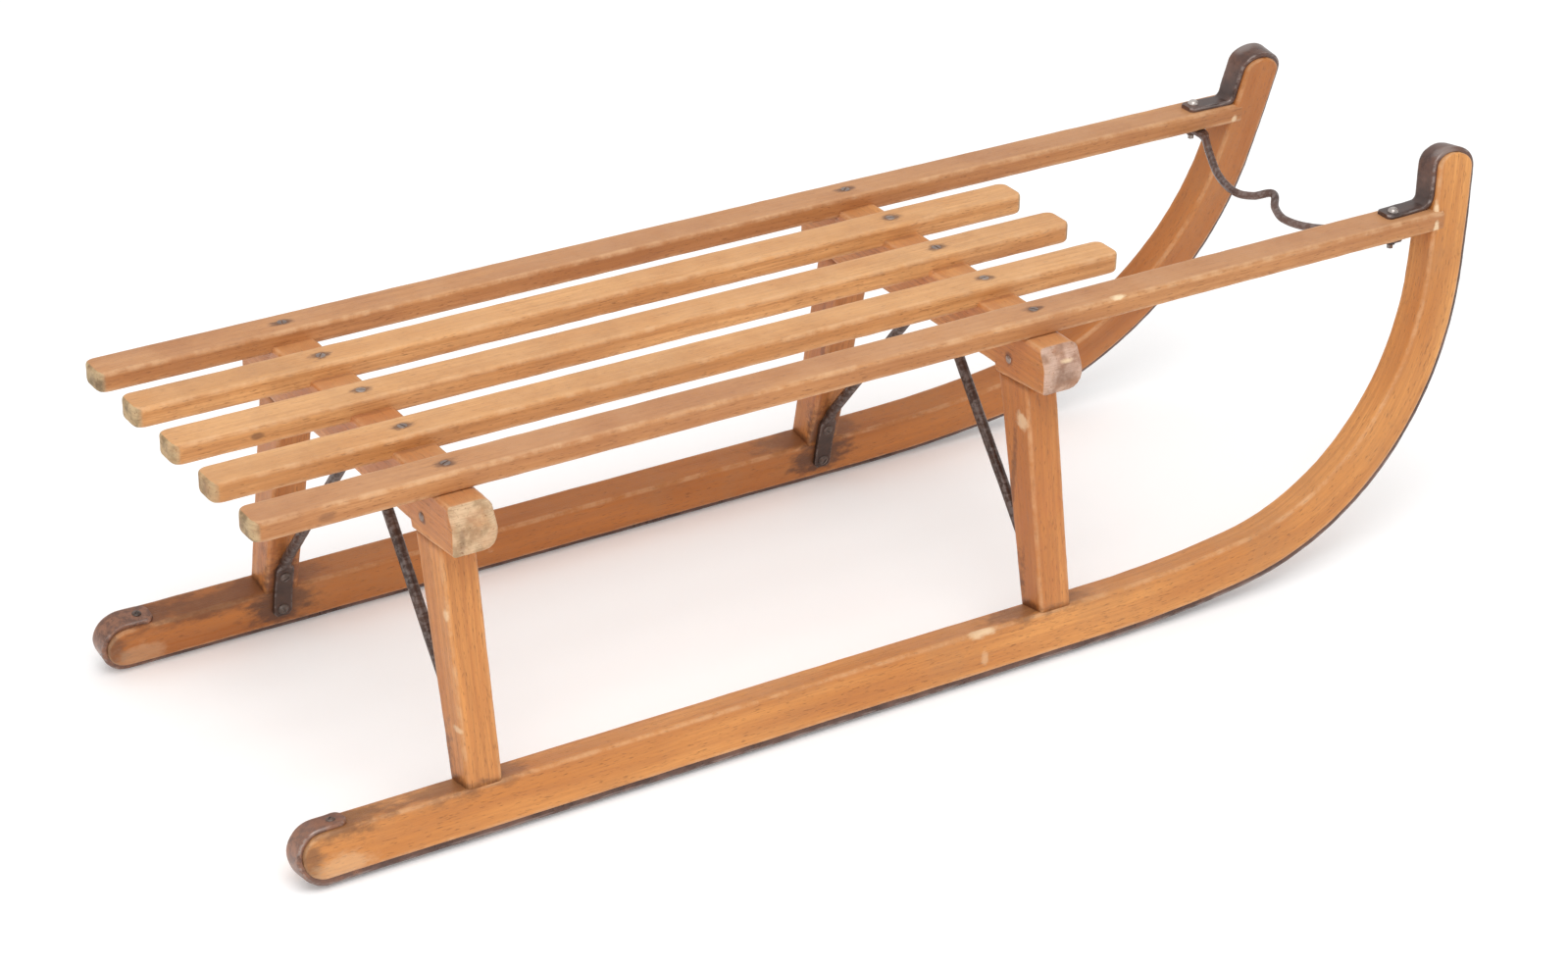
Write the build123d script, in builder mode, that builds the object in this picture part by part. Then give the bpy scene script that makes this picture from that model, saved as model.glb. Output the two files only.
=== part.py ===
from build123d import *
from math import atan2, cos, degrees, radians, sin, sqrt, tan
import os

# Wooden toboggan: two bent runners, two trestles, five slats, a tow bar and iron fittings.
# X forward to the horns, Y to the left, Z up. The origin is on the ground, under the middle.
# Sizes are in millimetres and angles in degrees.

# the whole sled
seat_height = 274.0  # top of the slats
track = 340.0  # between the runners' middle planes on the ground
runner_lean = 9.25  # both runners lean in towards the seat
rear_trestle_x = -382.5
trestle_spacing = 490.0
fit_gap = 0.1  # round screws, pins and tenons

# runners, each bent from one bar and drawn from the sole up in its leaning plane
runner_width = 27.0
runner_height = 34.0
runner_overhang = 141.5  # behind the rear trestle
bend_start = 44.0  # ahead of the front trestle
toe_radius = 1080.0
toe_angle = 7.5
bend_radius = 258.0
bend_angle = 71.0
horn_radius = 1350.0
horn_angle = 3.6
horn_crown = 12.0
runner_ease = 2.5

# slats; the outer two are the rails, which run on to the horns
slat_width = 30.0
slat_thickness = 16.0
slat_pitch = 64.0
slat_overhang = 150.0  # behind the rear trestle
slat_reach = 118.0  # ahead of the front trestle, inner slats only
slat_corner = 9.0
slat_ease = 3.0
rail_housing = 8.0  # depth that the rails are let into the horns

# cross beams
beam_length = 336.0
beam_behind = 16.0
beam_ahead = 19.0
beam_height = 41.0
beam_foot_round = 12.0  # lower front corner
beam_brow_round = 4.0  # upper front corner between the slats
beam_back_round = 3.0
beam_end_round = 9.0  # upper front corner outside the rails
beam_end_slope = (8.0, 15.0)  # cut off the top of each end, inward and down
beam_end_ease = 2.0
slat_housing = 5.5
pad_start = 106.0  # from the middle, where the beam grows deeper over the leg
pad_drop = 5.5

# legs
leg_thickness = 28.0
leg_head_inner = 107.0
leg_head_outer = 143.0
leg_reveal = 1.0
leg_ease = 2.5
head_tenon_thickness = 14.0
head_tenon_width = 20.0
foot_tenon_length = 18.0
foot_tenon_width = 11.0
tenon_clearance = 2.0  # between a tenon's end and the nearest screw

# sole bands, one strip round each runner
band_width = 20.0
sole_band = 6.5
rear_band = 4.0
tab_band = 3.0
crown_band = 4.5
back_band = 3.5
band_round = 2.8
tab_length = 21.0
tab_setback = 10.0  # from the tab's end to its screw
hold_width = 17.0  # the end of the band that lies on the rail
hold_setback = 9.0  # from its end to the horn bolt
hold_corner = 4.0
bolt_setback = 34.0  # from the horn's back to the bolt

# braces
brace_rod = 8.5
plate_width = 15.0
plate_thickness = 4.0
plate_rise = 25.0  # along the leg, above the runner's top
plate_drop = 22.5  # along the runner, below its top
plate_screw_rise = 15.5
plate_screw_drop = 16.0
crown_pad = 26.0
forge_length = 12.0  # where the round rod is hammered flat

# tow bar
tow_rod = 6.6
tow_plate_width = 11.0
tow_plate_thickness = 4.0
tow_plate_end = 9.0  # outboard of the horn bolt
tow_slope = 32.0  # the bow hangs back and this far below level
tow_bow = 32.0
tow_valley = 28.0  # from the middle to the deepest place
tow_notch = 15.0
tow_start_drop = 9.0

# fasteners: head radius, head height, shank radius
slat_screw_size = (3.6, 2.6, 2.1)
sole_screw_size = (3.4, 2.4, 1.8)
beam_pin_size = (3.2, 1.4, 1.9)
brace_screw_size = (4.5, 2.6, 2.0)
crown_screw_size = (4.2, 2.4, 2.0)
tab_screw_size = (3.6, 1.6, 1.8)
horn_bolt_size = (4.6, 3.2, 2.5)
slat_screw_grip = 8.0  # into the beam
sole_screw_grip = 11.0  # into the runner
brace_screw_grip = 11.0  # into the leg or the runner
crown_screw_grip = 16.0  # into the beam
tab_screw_grip = 11.0  # into the runner
beam_pin_length = 30.0
point_radius = 0.4
bolt_tip = 3.5  # past the nut
nut_across = 8.0
nut_height = 4.0
slot_width = 1.1
slot_depth = 1.0
sole_screw_start = 40.0  # from the runner's rear tip
sole_screw_pitch = 104.0
sole_screw_count = 7

# worked out from the sizes above
front_trestle_x = rear_trestle_x + trestle_spacing
trestles = {"rear": rear_trestle_x, "front": front_trestle_x}
lean = radians(runner_lean)
slat_floor = seat_height - slat_thickness
beam_top = slat_floor + slat_housing
beam_floor = beam_top - beam_height
rail_y = 2 * slat_pitch
slat_rear_x = rear_trestle_x - slat_overhang
runner_rear_x = rear_trestle_x - runner_overhang
rear_turn_x = runner_rear_x + runner_height / 2
bend_x = front_trestle_x + bend_start
bend_end = radians(toe_angle + bend_angle)
band_flat = band_width / 2 - band_round
ground_lift = band_flat * sin(lean) + sole_band * cos(lean) + band_round * (1 - cos(lean))
head_tenon_top = slat_floor - slat_screw_grip - tenon_clearance / 4
head_tenon_y = (leg_head_inner + leg_head_outer) / 2 - 3
foot_tenon_depth = plate_screw_drop - brace_screw_size[2] - tenon_clearance

# the left runner's middle plane: its x runs forward, its y up the runner, its z inward
runner_plane = Plane(
    origin=(0, track / 2, ground_lift), x_dir=(1, 0, 0), z_dir=(0, -cos(lean), -sin(lean))
)


def on_runner(along, up, inward=0.0):
    """A point of the left runner's plane, and inward from it."""
    return runner_plane.from_local_coords(Vector(along, up, inward))


def bend_joint(depth):
    """Where the bend ends and the horn starts, at a depth above the sole."""
    turn = radians(toe_angle)
    along = bend_x + toe_radius * sin(turn) + bend_radius * (sin(bend_end) - sin(turn))
    up = toe_radius * (1 - cos(turn)) + bend_radius * (cos(turn) - cos(bend_end))
    return along - depth * sin(bend_end), up + depth * cos(bend_end)


def horn_back_x(height):
    """The x of the horn's back at a height above the ground."""
    up = (height - ground_lift) / cos(lean)
    start_x, start_up = bend_joint(0)
    middle_x = start_x - horn_radius * sin(bend_end)
    middle_up = start_up + horn_radius * cos(bend_end)
    return middle_x + sqrt((horn_radius - runner_height) ** 2 - (up - middle_up) ** 2)


def pad_floor(y):
    """The height of the beam's underside over the leg, which rises outward to the beam's floor."""
    return beam_floor - pad_drop * (beam_length / 2 - y) / (beam_length / 2 - pad_start)


rail_front_x = horn_back_x(seat_height - slat_thickness / 2) + rail_housing
bolt_x = horn_back_x(seat_height) - bolt_setback
horn_y = track / 2 - (seat_height - ground_lift) * tan(lean)


def swept_edge(depth):
    """The toe and the bend of a runner's edge, at a depth above the sole."""
    toe = JernArc((bend_x, depth), (1, 0), toe_radius - depth, toe_angle)
    JernArc(toe @ 1, toe % 1, bend_radius - depth, bend_angle)


def horn_edge(depth):
    """The horn's edge above the bend, at a depth above the sole."""
    return JernArc(bend_joint(depth), (cos(bend_end), sin(bend_end)), horn_radius - depth, horn_angle)


def horn_tip(back, front, rise):
    """Half an ellipse over the horn, from its front edge to its back edge."""
    across = front @ 1 - back @ 1
    turn = degrees(atan2(across.Y, across.X))
    EllipticalCenterArc((front @ 1 + back @ 1) / 2, across.length / 2, rise, arc_size=180, rotation=turn)


def save(piece, name):
    """Label a finished piece and write it."""
    piece.label = name
    export_step(piece, f"parts/{name}.step")


def save_pair(piece, name):
    """Write a left-hand piece and its right-hand twin."""
    save(mirror(piece, about=Plane.XZ), f"{name}_right")
    save(piece, f"{name}_left")


def grouped(pieces):
    """Separate solids that share one node."""
    with BuildPart() as whole:
        add(pieces)
    return whole.part


def domed(place, size, length, end_radius=point_radius):
    """A round-headed screw, pin or bolt whose head stands out along the place's z."""
    head_radius, head_height, shank_radius = size
    ball = (head_radius**2 + head_height**2) / (2 * head_height)
    taper_end = shank_radius - end_radius - length
    with BuildPart() as piece:
        with BuildSketch(Plane.XZ):
            with BuildLine():
                Polyline((0, head_height), (0, -length), (end_radius, -length),
                         (shank_radius, taper_end), (shank_radius, 0), (head_radius, 0))
                RadiusArc((head_radius, 0), (0, head_height), -ball)
            make_face()
        revolve(axis=Axis.Z)
    return place * piece.part


def sunk(place, size, length):
    """A slotted countersunk screw whose top is flush with the place."""
    head_radius, head_height, shank_radius = size
    taper_end = shank_radius - point_radius - length
    with BuildPart() as piece:
        with BuildSketch(Plane.XZ):
            with BuildLine():
                Polyline((0, 0), (0, -length), (point_radius, -length), (shank_radius, taper_end),
                         (shank_radius, -head_height), (head_radius, 0), close=True)
            make_face()
        revolve(axis=Axis.Z)
        Box(3 * head_radius, slot_width, 2 * slot_depth, mode=Mode.SUBTRACT)
    return place * piece.part


def sunk_hole(size, depth):
    """Cut the hole for a countersunk screw at the current locations."""
    head_radius, head_height, shank_radius = size
    cone = degrees(2 * atan2(head_radius - shank_radius, head_height))
    CounterSinkHole(shank_radius + fit_gap, head_radius + fit_gap, depth, cone)


os.makedirs("parts", exist_ok=True)

# where the fasteners go
rows = range(-2, 3)
slat_screw_places = {
    name: [Location((x, row * slat_pitch, seat_height)) for row in rows] for name, x in trestles.items()
}
all_slat_screws = slat_screw_places["rear"] + slat_screw_places["front"]
slat_screw_length = slat_thickness + slat_screw_grip
sole_screw_length = sole_band + sole_screw_grip
tab_screw_length = tab_band + tab_screw_grip
brace_screw_length = plate_thickness + brace_screw_grip
crown_screw_length = plate_thickness + crown_screw_grip
horn_bolt_length = back_band + slat_thickness + tow_plate_thickness + nut_height + bolt_tip
horn_foot = on_runner(*bend_joint(0))
hold_rear_x = bolt_x - hold_setback
hold_front_x = horn_back_x(seat_height) - back_band / 2
sole_screw_places = [
    runner_plane.location
    * Location((runner_rear_x + sole_screw_start + step * sole_screw_pitch, -sole_band, 0), (90, 0, 0))
    for step in range(sole_screw_count)
]
tab_screw_place = runner_plane.location * Location(
    (rear_turn_x + tab_length - tab_setback, runner_height + tab_band, 0), (-90, 0, 0)
)
bolt_place = Location((bolt_x, rail_y, seat_height + back_band))
pin_places = [
    Location((x - beam_behind, side * head_tenon_y, (pad_floor(head_tenon_y) + head_tenon_top) / 2),
             (0, -90, 0))
    for x in trestles.values()
    for side in (1, -1)
]

# the corners of the left legs, seen along the sled
foot_inner = on_runner(0, runner_height, runner_width / 2)
foot_outer = on_runner(0, runner_height, leg_reveal - runner_width / 2)
head_inner = Vector(0, leg_head_inner, pad_floor(leg_head_inner))
head_outer = Vector(0, leg_head_outer, pad_floor(leg_head_outer))
leg_up = (head_inner - foot_inner).normalized()
leg_in = Vector(0, -leg_up.Z, leg_up.Y)
runner_down = -runner_plane.y_dir
runner_in = runner_plane.z_dir
plate_top = foot_inner + leg_up * plate_rise
plate_bottom = foot_inner + runner_down * plate_drop
plate_knee = foot_inner + (leg_in + runner_in).normalized() * plate_thickness
leg_screw_point = foot_inner + leg_up * plate_screw_rise + leg_in * plate_thickness
runner_screw_point = foot_inner + runner_down * plate_screw_drop + runner_in * plate_thickness
brace_screw_places = [
    Plane(origin=point + Vector(x, 0, 0), x_dir=(1, 0, 0), z_dir=facing).location
    for x in trestles.values()
    for point, facing in ((leg_screw_point, leg_in), (runner_screw_point, runner_in))
]
right_brace_screw_places = [
    Plane(origin=Vector(x, -point.Y, point.Z), x_dir=(1, 0, 0), z_dir=Vector(0, -facing.Y, facing.Z)).location
    for x in trestles.values()
    for point, facing in ((leg_screw_point, leg_in), (runner_screw_point, runner_in))
]
crown_screw_places = [
    Location((x, 0, beam_floor - plate_thickness), (180, 0, 0)) for x in trestles.values()
]

# runner: the bent bar, with the rail housing, the leg mortises and the screw holes
with BuildPart() as runner_left:
    with BuildSketch(runner_plane):
        with BuildLine():
            Line((rear_turn_x, 0), (bend_x, 0))
            swept_edge(0)
            front = horn_edge(0)
            back = horn_edge(runner_height)
            horn_tip(back, front, horn_crown)
            swept_edge(runner_height)
            Line((rear_turn_x, runner_height), (bend_x, runner_height))
            ThreePointArc((rear_turn_x, 0), (runner_rear_x, runner_height / 2),
                          (rear_turn_x, runner_height))
        make_face()
    extrude(amount=runner_width / 2, both=True)
    side_faces = runner_left.faces().sort_by(SortBy.AREA)[-2:]
    fillet(side_faces.edges(), radius=runner_ease)
    with Locations((rail_front_x - runner_height / 2, rail_y, seat_height - slat_thickness / 2)):
        Box(runner_height, 3 * runner_width, slat_thickness, mode=Mode.SUBTRACT)
    with BuildSketch(runner_plane.offset(-foot_tenon_width / 2 - fit_gap)):
        with Locations([(x, runner_height) for x in trestles.values()]):
            Rectangle(foot_tenon_length + 2 * fit_gap, 2 * (foot_tenon_depth + fit_gap))
    extrude(amount=foot_tenon_width + 2 * fit_gap, mode=Mode.SUBTRACT)
    with Locations(sole_screw_places):
        Hole(sole_screw_size[2] + fit_gap, sole_screw_length + fit_gap)
    with Locations(tab_screw_place):
        Hole(tab_screw_size[2] + fit_gap, tab_screw_length + fit_gap)
    with Locations(brace_screw_places):
        Hole(brace_screw_size[2] + fit_gap, brace_screw_length + fit_gap)
save_pair(runner_left.part, "runner")

# sole band: under the sole, round the rear tip, over the horn and on to the rail
with BuildPart() as sole_band_left:
    with BuildSketch(runner_plane):
        with BuildLine():
            Line((rear_turn_x, 0), (bend_x, 0))
            swept_edge(0)
            front = horn_edge(0)
            back = horn_edge(runner_height)
            horn_tip(back, front, horn_crown)
            under = Line((rear_turn_x, -sole_band), (bend_x, -sole_band))
            swept_edge(-sole_band)
            outer_front = horn_edge(-sole_band)
            outer_back = horn_edge(runner_height + back_band)
            horn_tip(outer_back, outer_front, horn_crown + crown_band)
            Line(back @ 0, outer_back @ 0)
            tab = Line((rear_turn_x, runner_height), (rear_turn_x + tab_length, runner_height))
            tab_top = Line((rear_turn_x, runner_height + tab_band),
                           (rear_turn_x + tab_length, runner_height + tab_band))
            Line(tab @ 1, tab_top @ 1)
            ThreePointArc((rear_turn_x, 0), (runner_rear_x, runner_height / 2),
                          (rear_turn_x, runner_height))
            EllipticalCenterArc((tab_top @ 0 + under @ 0) / 2, runner_height / 2 + rear_band,
                                (tab_top @ 0 - under @ 0).length / 2, start_angle=90, arc_size=180)
        make_face()
    extrude(amount=band_width / 2, both=True)
    side_edges = sole_band_left.faces().sort_by(SortBy.AREA)[-2:].edges()
    stand_off = tab_band / 2 + 0.1
    proud_edges = side_edges.filter_by(lambda edge: runner_left.part.distance_to(edge @ 0.5) > stand_off)
    fillet(proud_edges, radius=band_round)
    with Locations((horn_back_x(seat_height) + 1, rail_y, seat_height)):
        Box(2 * runner_height, 3 * hold_width, seat_height - horn_foot.Z, mode=Mode.SUBTRACT,
            align=(Align.MAX, Align.CENTER, Align.MAX))
    with BuildSketch(Plane.XY.offset(seat_height)) as hold:
        with Locations(((hold_rear_x + hold_front_x) / 2, horn_y)):
            Rectangle(hold_front_x - hold_rear_x, hold_width)
        fillet(hold.vertices().group_by(Axis.X)[0], radius=hold_corner)
    extrude(amount=back_band)
    with Locations(sole_screw_places):
        sunk_hole(sole_screw_size, sole_screw_length)
    with Locations(tab_screw_place):
        Hole(tab_screw_size[2] + fit_gap, tab_screw_length)
    with Locations(bolt_place):
        Hole(horn_bolt_size[2] + fit_gap, horn_bolt_length)
save_pair(sole_band_left.part, "sole_band")


def leg(x):
    """A left leg, shouldered on the runner and under the beam, with its two tenons."""
    with BuildPart() as piece:
        with BuildSketch(Plane(origin=(x, 0, 0), x_dir=(0, 1, 0), z_dir=(1, 0, 0))):
            with BuildLine():
                corners = (foot_inner, foot_outer, head_outer, head_inner)
                Polyline([(corner.Y, corner.Z) for corner in corners], close=True)
            make_face()
        extrude(amount=leg_thickness / 2, both=True)
        fillet(piece.edges().sort_by(Edge.length)[-4:], radius=leg_ease)
        with Locations((x, head_tenon_y, head_tenon_top)):
            Box(head_tenon_thickness, head_tenon_width, head_tenon_top - pad_floor(0),
                align=(Align.CENTER, Align.CENTER, Align.MAX))
        with BuildSketch(runner_plane.offset(-foot_tenon_width / 2)):
            with Locations((x, runner_height)):
                Rectangle(foot_tenon_length, 2 * foot_tenon_depth)
        extrude(amount=foot_tenon_width)
        with Locations(pin_places):
            Hole(beam_pin_size[2] + fit_gap, beam_pin_length + fit_gap)
        with Locations(brace_screw_places):
            Hole(brace_screw_size[2] + fit_gap, brace_screw_length + fit_gap)
    return piece.part


for name, x in trestles.items():
    save_pair(leg(x), f"leg_{name}")


def beam_section(x, y, floor, top, brow):
    """The beam's section at a distance from the sled's middle, rounder in front than behind."""
    with BuildSketch(Plane(origin=(x, y, 0), x_dir=(1, 0, 0), z_dir=(0, -1, 0))) as section:
        with Locations(((beam_ahead - beam_behind) / 2, (floor + top) / 2)):
            Rectangle(beam_ahead + beam_behind, top - floor)
        fillet(section.vertices().group_by(Axis.X)[0], radius=beam_back_round)
        fillet(section.vertices().group_by(Axis.X)[-1].sort_by(Axis.Y)[0], radius=beam_foot_round)
        fillet(section.vertices().group_by(Axis.X)[-1].sort_by(Axis.Y)[-1], radius=brow)
    return section.sketch


def beam(x):
    """A cross beam with its end slopes, slat housings, mortises and screw holes."""
    middle = beam_section(x, 0, beam_floor, beam_top, beam_brow_round)
    over_leg = beam_section(x, pad_start, pad_floor(pad_start), slat_floor, beam_end_round)
    end = beam_section(x, beam_length / 2, beam_floor, slat_floor, beam_end_round)
    slope_in, slope_down = beam_end_slope
    with BuildPart() as piece:
        loft([over_leg, end], ruled=True)
        with BuildSketch(Plane(origin=(x, 0, 0), x_dir=(0, 1, 0), z_dir=(1, 0, 0))):
            with BuildLine():
                Polyline((beam_length / 2 - slope_in, slat_floor), (beam_length / 2, slat_floor - slope_down),
                         (beam_length / 2, slat_floor), close=True)
            make_face()
        extrude(amount=2 * beam_ahead, both=True, mode=Mode.SUBTRACT)
        fillet(piece.faces().sort_by(Axis.Y)[-1].edges(), radius=beam_end_ease)
        mirror(about=Plane.XZ)
        extrude(middle, amount=rail_y - slat_width / 2, both=True)
        with Locations([(x, row * slat_pitch, slat_floor) for row in rows[1:-1]]):
            Box(3 * beam_ahead, slat_width, 2 * slat_housing, mode=Mode.SUBTRACT,
                align=(Align.CENTER, Align.CENTER, Align.MIN))
        with Locations([(x, side * head_tenon_y, head_tenon_top + fit_gap) for side in (1, -1)]):
            Box(head_tenon_thickness + 2 * fit_gap, head_tenon_width + 2 * fit_gap, beam_height,
                mode=Mode.SUBTRACT, align=(Align.CENTER, Align.CENTER, Align.MAX))
        with Locations(pin_places):
            Hole(beam_pin_size[2] + fit_gap, beam_pin_length + fit_gap)
        with Locations(all_slat_screws):
            Hole(slat_screw_size[2] + fit_gap, slat_screw_length + fit_gap)
        with Locations(crown_screw_places):
            Hole(crown_screw_size[2] + fit_gap, crown_screw_length + fit_gap)
    return piece.part


for name, x in trestles.items():
    save(beam(x), f"{name}_beam")


def slat(y, front_x):
    """A slat with its rear corners rounded, screwed to both beams."""
    with BuildPart() as piece:
        with BuildSketch(Plane.XY.offset(slat_floor)) as outline:
            with Locations(((slat_rear_x + front_x) / 2, y)):
                Rectangle(front_x - slat_rear_x, slat_width)
            fillet(outline.vertices().group_by(Axis.X)[0], radius=slat_corner)
            if front_x < rail_front_x:
                fillet(outline.vertices().group_by(Axis.X)[-1], radius=slat_corner)
        extrude(amount=slat_thickness)
        fillet(piece.faces().filter_by(Axis.Z).edges(), radius=slat_ease)
        with Locations(all_slat_screws):
            sunk_hole(slat_screw_size, slat_screw_length)
        with Locations(bolt_place):
            Hole(horn_bolt_size[2] + fit_gap, horn_bolt_length)
    return piece.part


save_pair(slat(rail_y, rail_front_x), "rail")
for name, row in (("right", -1), ("middle", 0), ("left", 1)):
    save(slat(row * slat_pitch, front_trestle_x + slat_reach), f"slat_{name}")


def flat_section(centre, facing, width, thickness):
    """The section of a flattened end, square to the way it faces."""
    with BuildSketch(Plane(origin=centre, x_dir=(1, 0, 0), z_dir=facing)) as section:
        RectangleRounded(width, thickness, thickness / 2 - fit_gap / 2)
    return section.sketch


def brace(x):
    """The V of iron rod under a beam, forged flat under the beam and against each leg."""
    along = Vector(x, 0, 0)
    rod_foot = along + plate_top + leg_up * forge_length + leg_in * (brace_rod / 2 + plate_thickness / 4)
    pad_end = along + Vector(0, crown_pad / 2, beam_floor - plate_thickness / 2)
    rod_head = pad_end + Vector(0, 0.75 * forge_length, -0.55 * forge_length)
    rod_up = (rod_head - rod_foot).normalized()
    plate_head = along + plate_top + leg_in * (plate_thickness / 2)
    sections = [
        flat_section(plate_head, leg_up, plate_width, plate_thickness),
        flat_section(rod_foot, rod_up, brace_rod, brace_rod),
        flat_section(rod_head, rod_up, brace_rod, brace_rod),
        flat_section(pad_end, (0, -1, 0), plate_width, plate_thickness),
    ]
    corners = (plate_top, foot_inner, plate_bottom, plate_bottom + runner_in * plate_thickness,
               plate_knee, plate_top + leg_in * plate_thickness)
    with BuildPart() as piece:
        with BuildSketch(Plane(origin=(x, 0, 0), x_dir=(0, 1, 0), z_dir=(1, 0, 0))):
            with BuildLine():
                Polyline([(corner.Y, corner.Z) for corner in corners], close=True)
            make_face()
        extrude(amount=plate_width / 2, both=True)
        toe_edges = piece.faces().sort_by(Axis.Z)[0].edges().filter_by(Axis.X, reverse=True)
        fillet(toe_edges, radius=plate_width / 4)
        loft(sections, ruled=True)
        mirror(about=Plane.XZ)
        with Locations((x, 0, beam_floor)):
            Box(plate_width, crown_pad, plate_thickness, align=(Align.CENTER, Align.CENTER, Align.MAX))
        for places, size, length in ((brace_screw_places, brace_screw_size, brace_screw_length),
                                     (right_brace_screw_places, brace_screw_size, brace_screw_length),
                                     (crown_screw_places, crown_screw_size, crown_screw_length)):
            with Locations(places):
                Hole(size[2] + fit_gap, length)
    return piece.part


for name, x in trestles.items():
    save(brace(x), f"{name}_brace")

# tow bar: flat ends under the rails, a hanging bow with a notch between them
bow_plane = Plane(
    origin=(bolt_x, 0, slat_floor - tow_plate_thickness / 2),
    x_dir=(0, 1, 0),
    z_dir=(-sin(radians(tow_slope)), 0, cos(radians(tow_slope))),
)
rail_inner_y = rail_y - slat_width / 2
across, down = bow_plane.x_dir, bow_plane.y_dir
bow_start = across * (rail_inner_y - tow_start_drop) + down * tow_start_drop
bow_valley = across * tow_valley + down * tow_bow
bow_notch = down * (tow_bow - tow_notch)
bow_path = Spline(
    [bow_plane.origin + point for point in (bow_start, bow_valley, bow_notch)],
    tangents=[down - across * 2, -across, -across],
)
bow_section = flat_section(bow_path @ 0, bow_path % 0, tow_rod, tow_rod)
tow_plate_middle = (bolt_x, rail_inner_y, slat_floor - tow_plate_thickness / 2)
tow_plate_section = flat_section(tow_plate_middle, (0, -1, 0), tow_plate_width, tow_plate_thickness)
with BuildPart() as tow_bar:
    sweep(bow_section, path=bow_path)
    loft([tow_plate_section, bow_section], ruled=True)
    with BuildSketch(Plane.XY.offset(slat_floor - tow_plate_thickness)) as flat_end:
        with Locations((bolt_x, (rail_inner_y + rail_y + tow_plate_end) / 2)):
            Rectangle(tow_plate_width, rail_y + tow_plate_end - rail_inner_y)
        fillet(flat_end.vertices().group_by(Axis.Y)[-1], radius=tow_plate_width / 4)
    extrude(amount=tow_plate_thickness)
    with Locations(bolt_place):
        Hole(horn_bolt_size[2] + fit_gap, horn_bolt_length)
    mirror(about=Plane.XZ)
save(tow_bar.part, "tow_bar")

# horn nuts
with BuildPart() as horn_nut:
    with BuildSketch(Plane.XY.offset(slat_floor - tow_plate_thickness - nut_height)):
        with Locations((bolt_x, rail_y)):
            RegularPolygon(nut_across / 2, 6, major_radius=False)
    extrude(amount=nut_height)
    with Locations(bolt_place):
        Hole(horn_bolt_size[2] + fit_gap, horn_bolt_length)


def both_sides(pieces):
    """Pieces on the left and their twins on the right."""
    return pieces + [mirror(piece, about=Plane.XZ) for piece in pieces]


blunt_pin = beam_pin_size[2] - point_radius
blunt_bolt = horn_bolt_size[2] - point_radius
horn_bolt = domed(bolt_place, horn_bolt_size, horn_bolt_length, blunt_bolt)
sole_screws = [sunk(place, sole_screw_size, sole_screw_length) for place in sole_screw_places]
brace_screws = [domed(place, brace_screw_size, brace_screw_length) for place in brace_screw_places]
crown_screws = [domed(place, crown_screw_size, crown_screw_length) for place in crown_screw_places]
beam_pins = [domed(place, beam_pin_size, beam_pin_length, blunt_pin) for place in pin_places]
tab_screw = domed(tab_screw_place, tab_screw_size, tab_screw_length)
for name, places in slat_screw_places.items():
    slat_screws = [sunk(place, slat_screw_size, slat_screw_length) for place in places]
    save(grouped(slat_screws), f"slat_screws_{name}")
save_pair(grouped(sole_screws), "sole_screws")
save(grouped(beam_pins), "beam_pins")
save(grouped(both_sides(brace_screws)), "brace_screws")
save(grouped(crown_screws), "crown_screws")
save(grouped(both_sides([tab_screw])), "tab_screws")
save(grouped(both_sides([horn_bolt])), "horn_bolts")
save(grouped(both_sides([horn_nut.part])), "horn_nuts")
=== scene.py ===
from math import cos, pi, radians, sin, sqrt, tan

import bmesh
import bpy
from mathutils import Matrix, Vector, noise


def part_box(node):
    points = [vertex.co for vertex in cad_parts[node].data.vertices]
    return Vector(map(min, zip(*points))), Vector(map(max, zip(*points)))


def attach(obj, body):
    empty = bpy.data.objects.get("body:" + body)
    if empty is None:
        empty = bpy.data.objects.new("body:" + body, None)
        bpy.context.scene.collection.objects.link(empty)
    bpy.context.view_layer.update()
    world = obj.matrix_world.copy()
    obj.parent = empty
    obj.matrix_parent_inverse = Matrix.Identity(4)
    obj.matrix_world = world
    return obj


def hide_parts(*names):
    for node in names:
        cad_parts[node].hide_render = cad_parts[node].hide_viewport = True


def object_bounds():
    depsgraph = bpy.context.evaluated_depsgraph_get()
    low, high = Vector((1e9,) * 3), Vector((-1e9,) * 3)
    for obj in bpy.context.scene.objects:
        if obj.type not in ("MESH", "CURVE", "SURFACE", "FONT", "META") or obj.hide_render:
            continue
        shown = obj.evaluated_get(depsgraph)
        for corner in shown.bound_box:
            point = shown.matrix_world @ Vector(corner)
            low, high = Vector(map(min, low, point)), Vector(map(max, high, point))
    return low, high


# wooden toboggan, dressed round its frame; metres, X forward, Y left, Z up
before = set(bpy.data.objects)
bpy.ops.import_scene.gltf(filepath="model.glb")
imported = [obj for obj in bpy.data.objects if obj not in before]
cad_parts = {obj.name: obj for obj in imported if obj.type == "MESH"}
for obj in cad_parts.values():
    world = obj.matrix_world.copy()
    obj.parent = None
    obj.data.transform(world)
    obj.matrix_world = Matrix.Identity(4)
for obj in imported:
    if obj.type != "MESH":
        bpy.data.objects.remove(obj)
cadBounds = [list(corner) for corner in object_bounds()]
mm = 0.001
noise.seed_set(7)  # the same small unevenness every run
bothSides = ((1, "left"), (-1, "right"))
xAxis, yAxis, zAxis = Vector((1, 0, 0)), Vector((0, 1, 0)), Vector((0, 0, 1))
print("frame loaded:", len(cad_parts), "nodes")


# shader helpers

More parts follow.
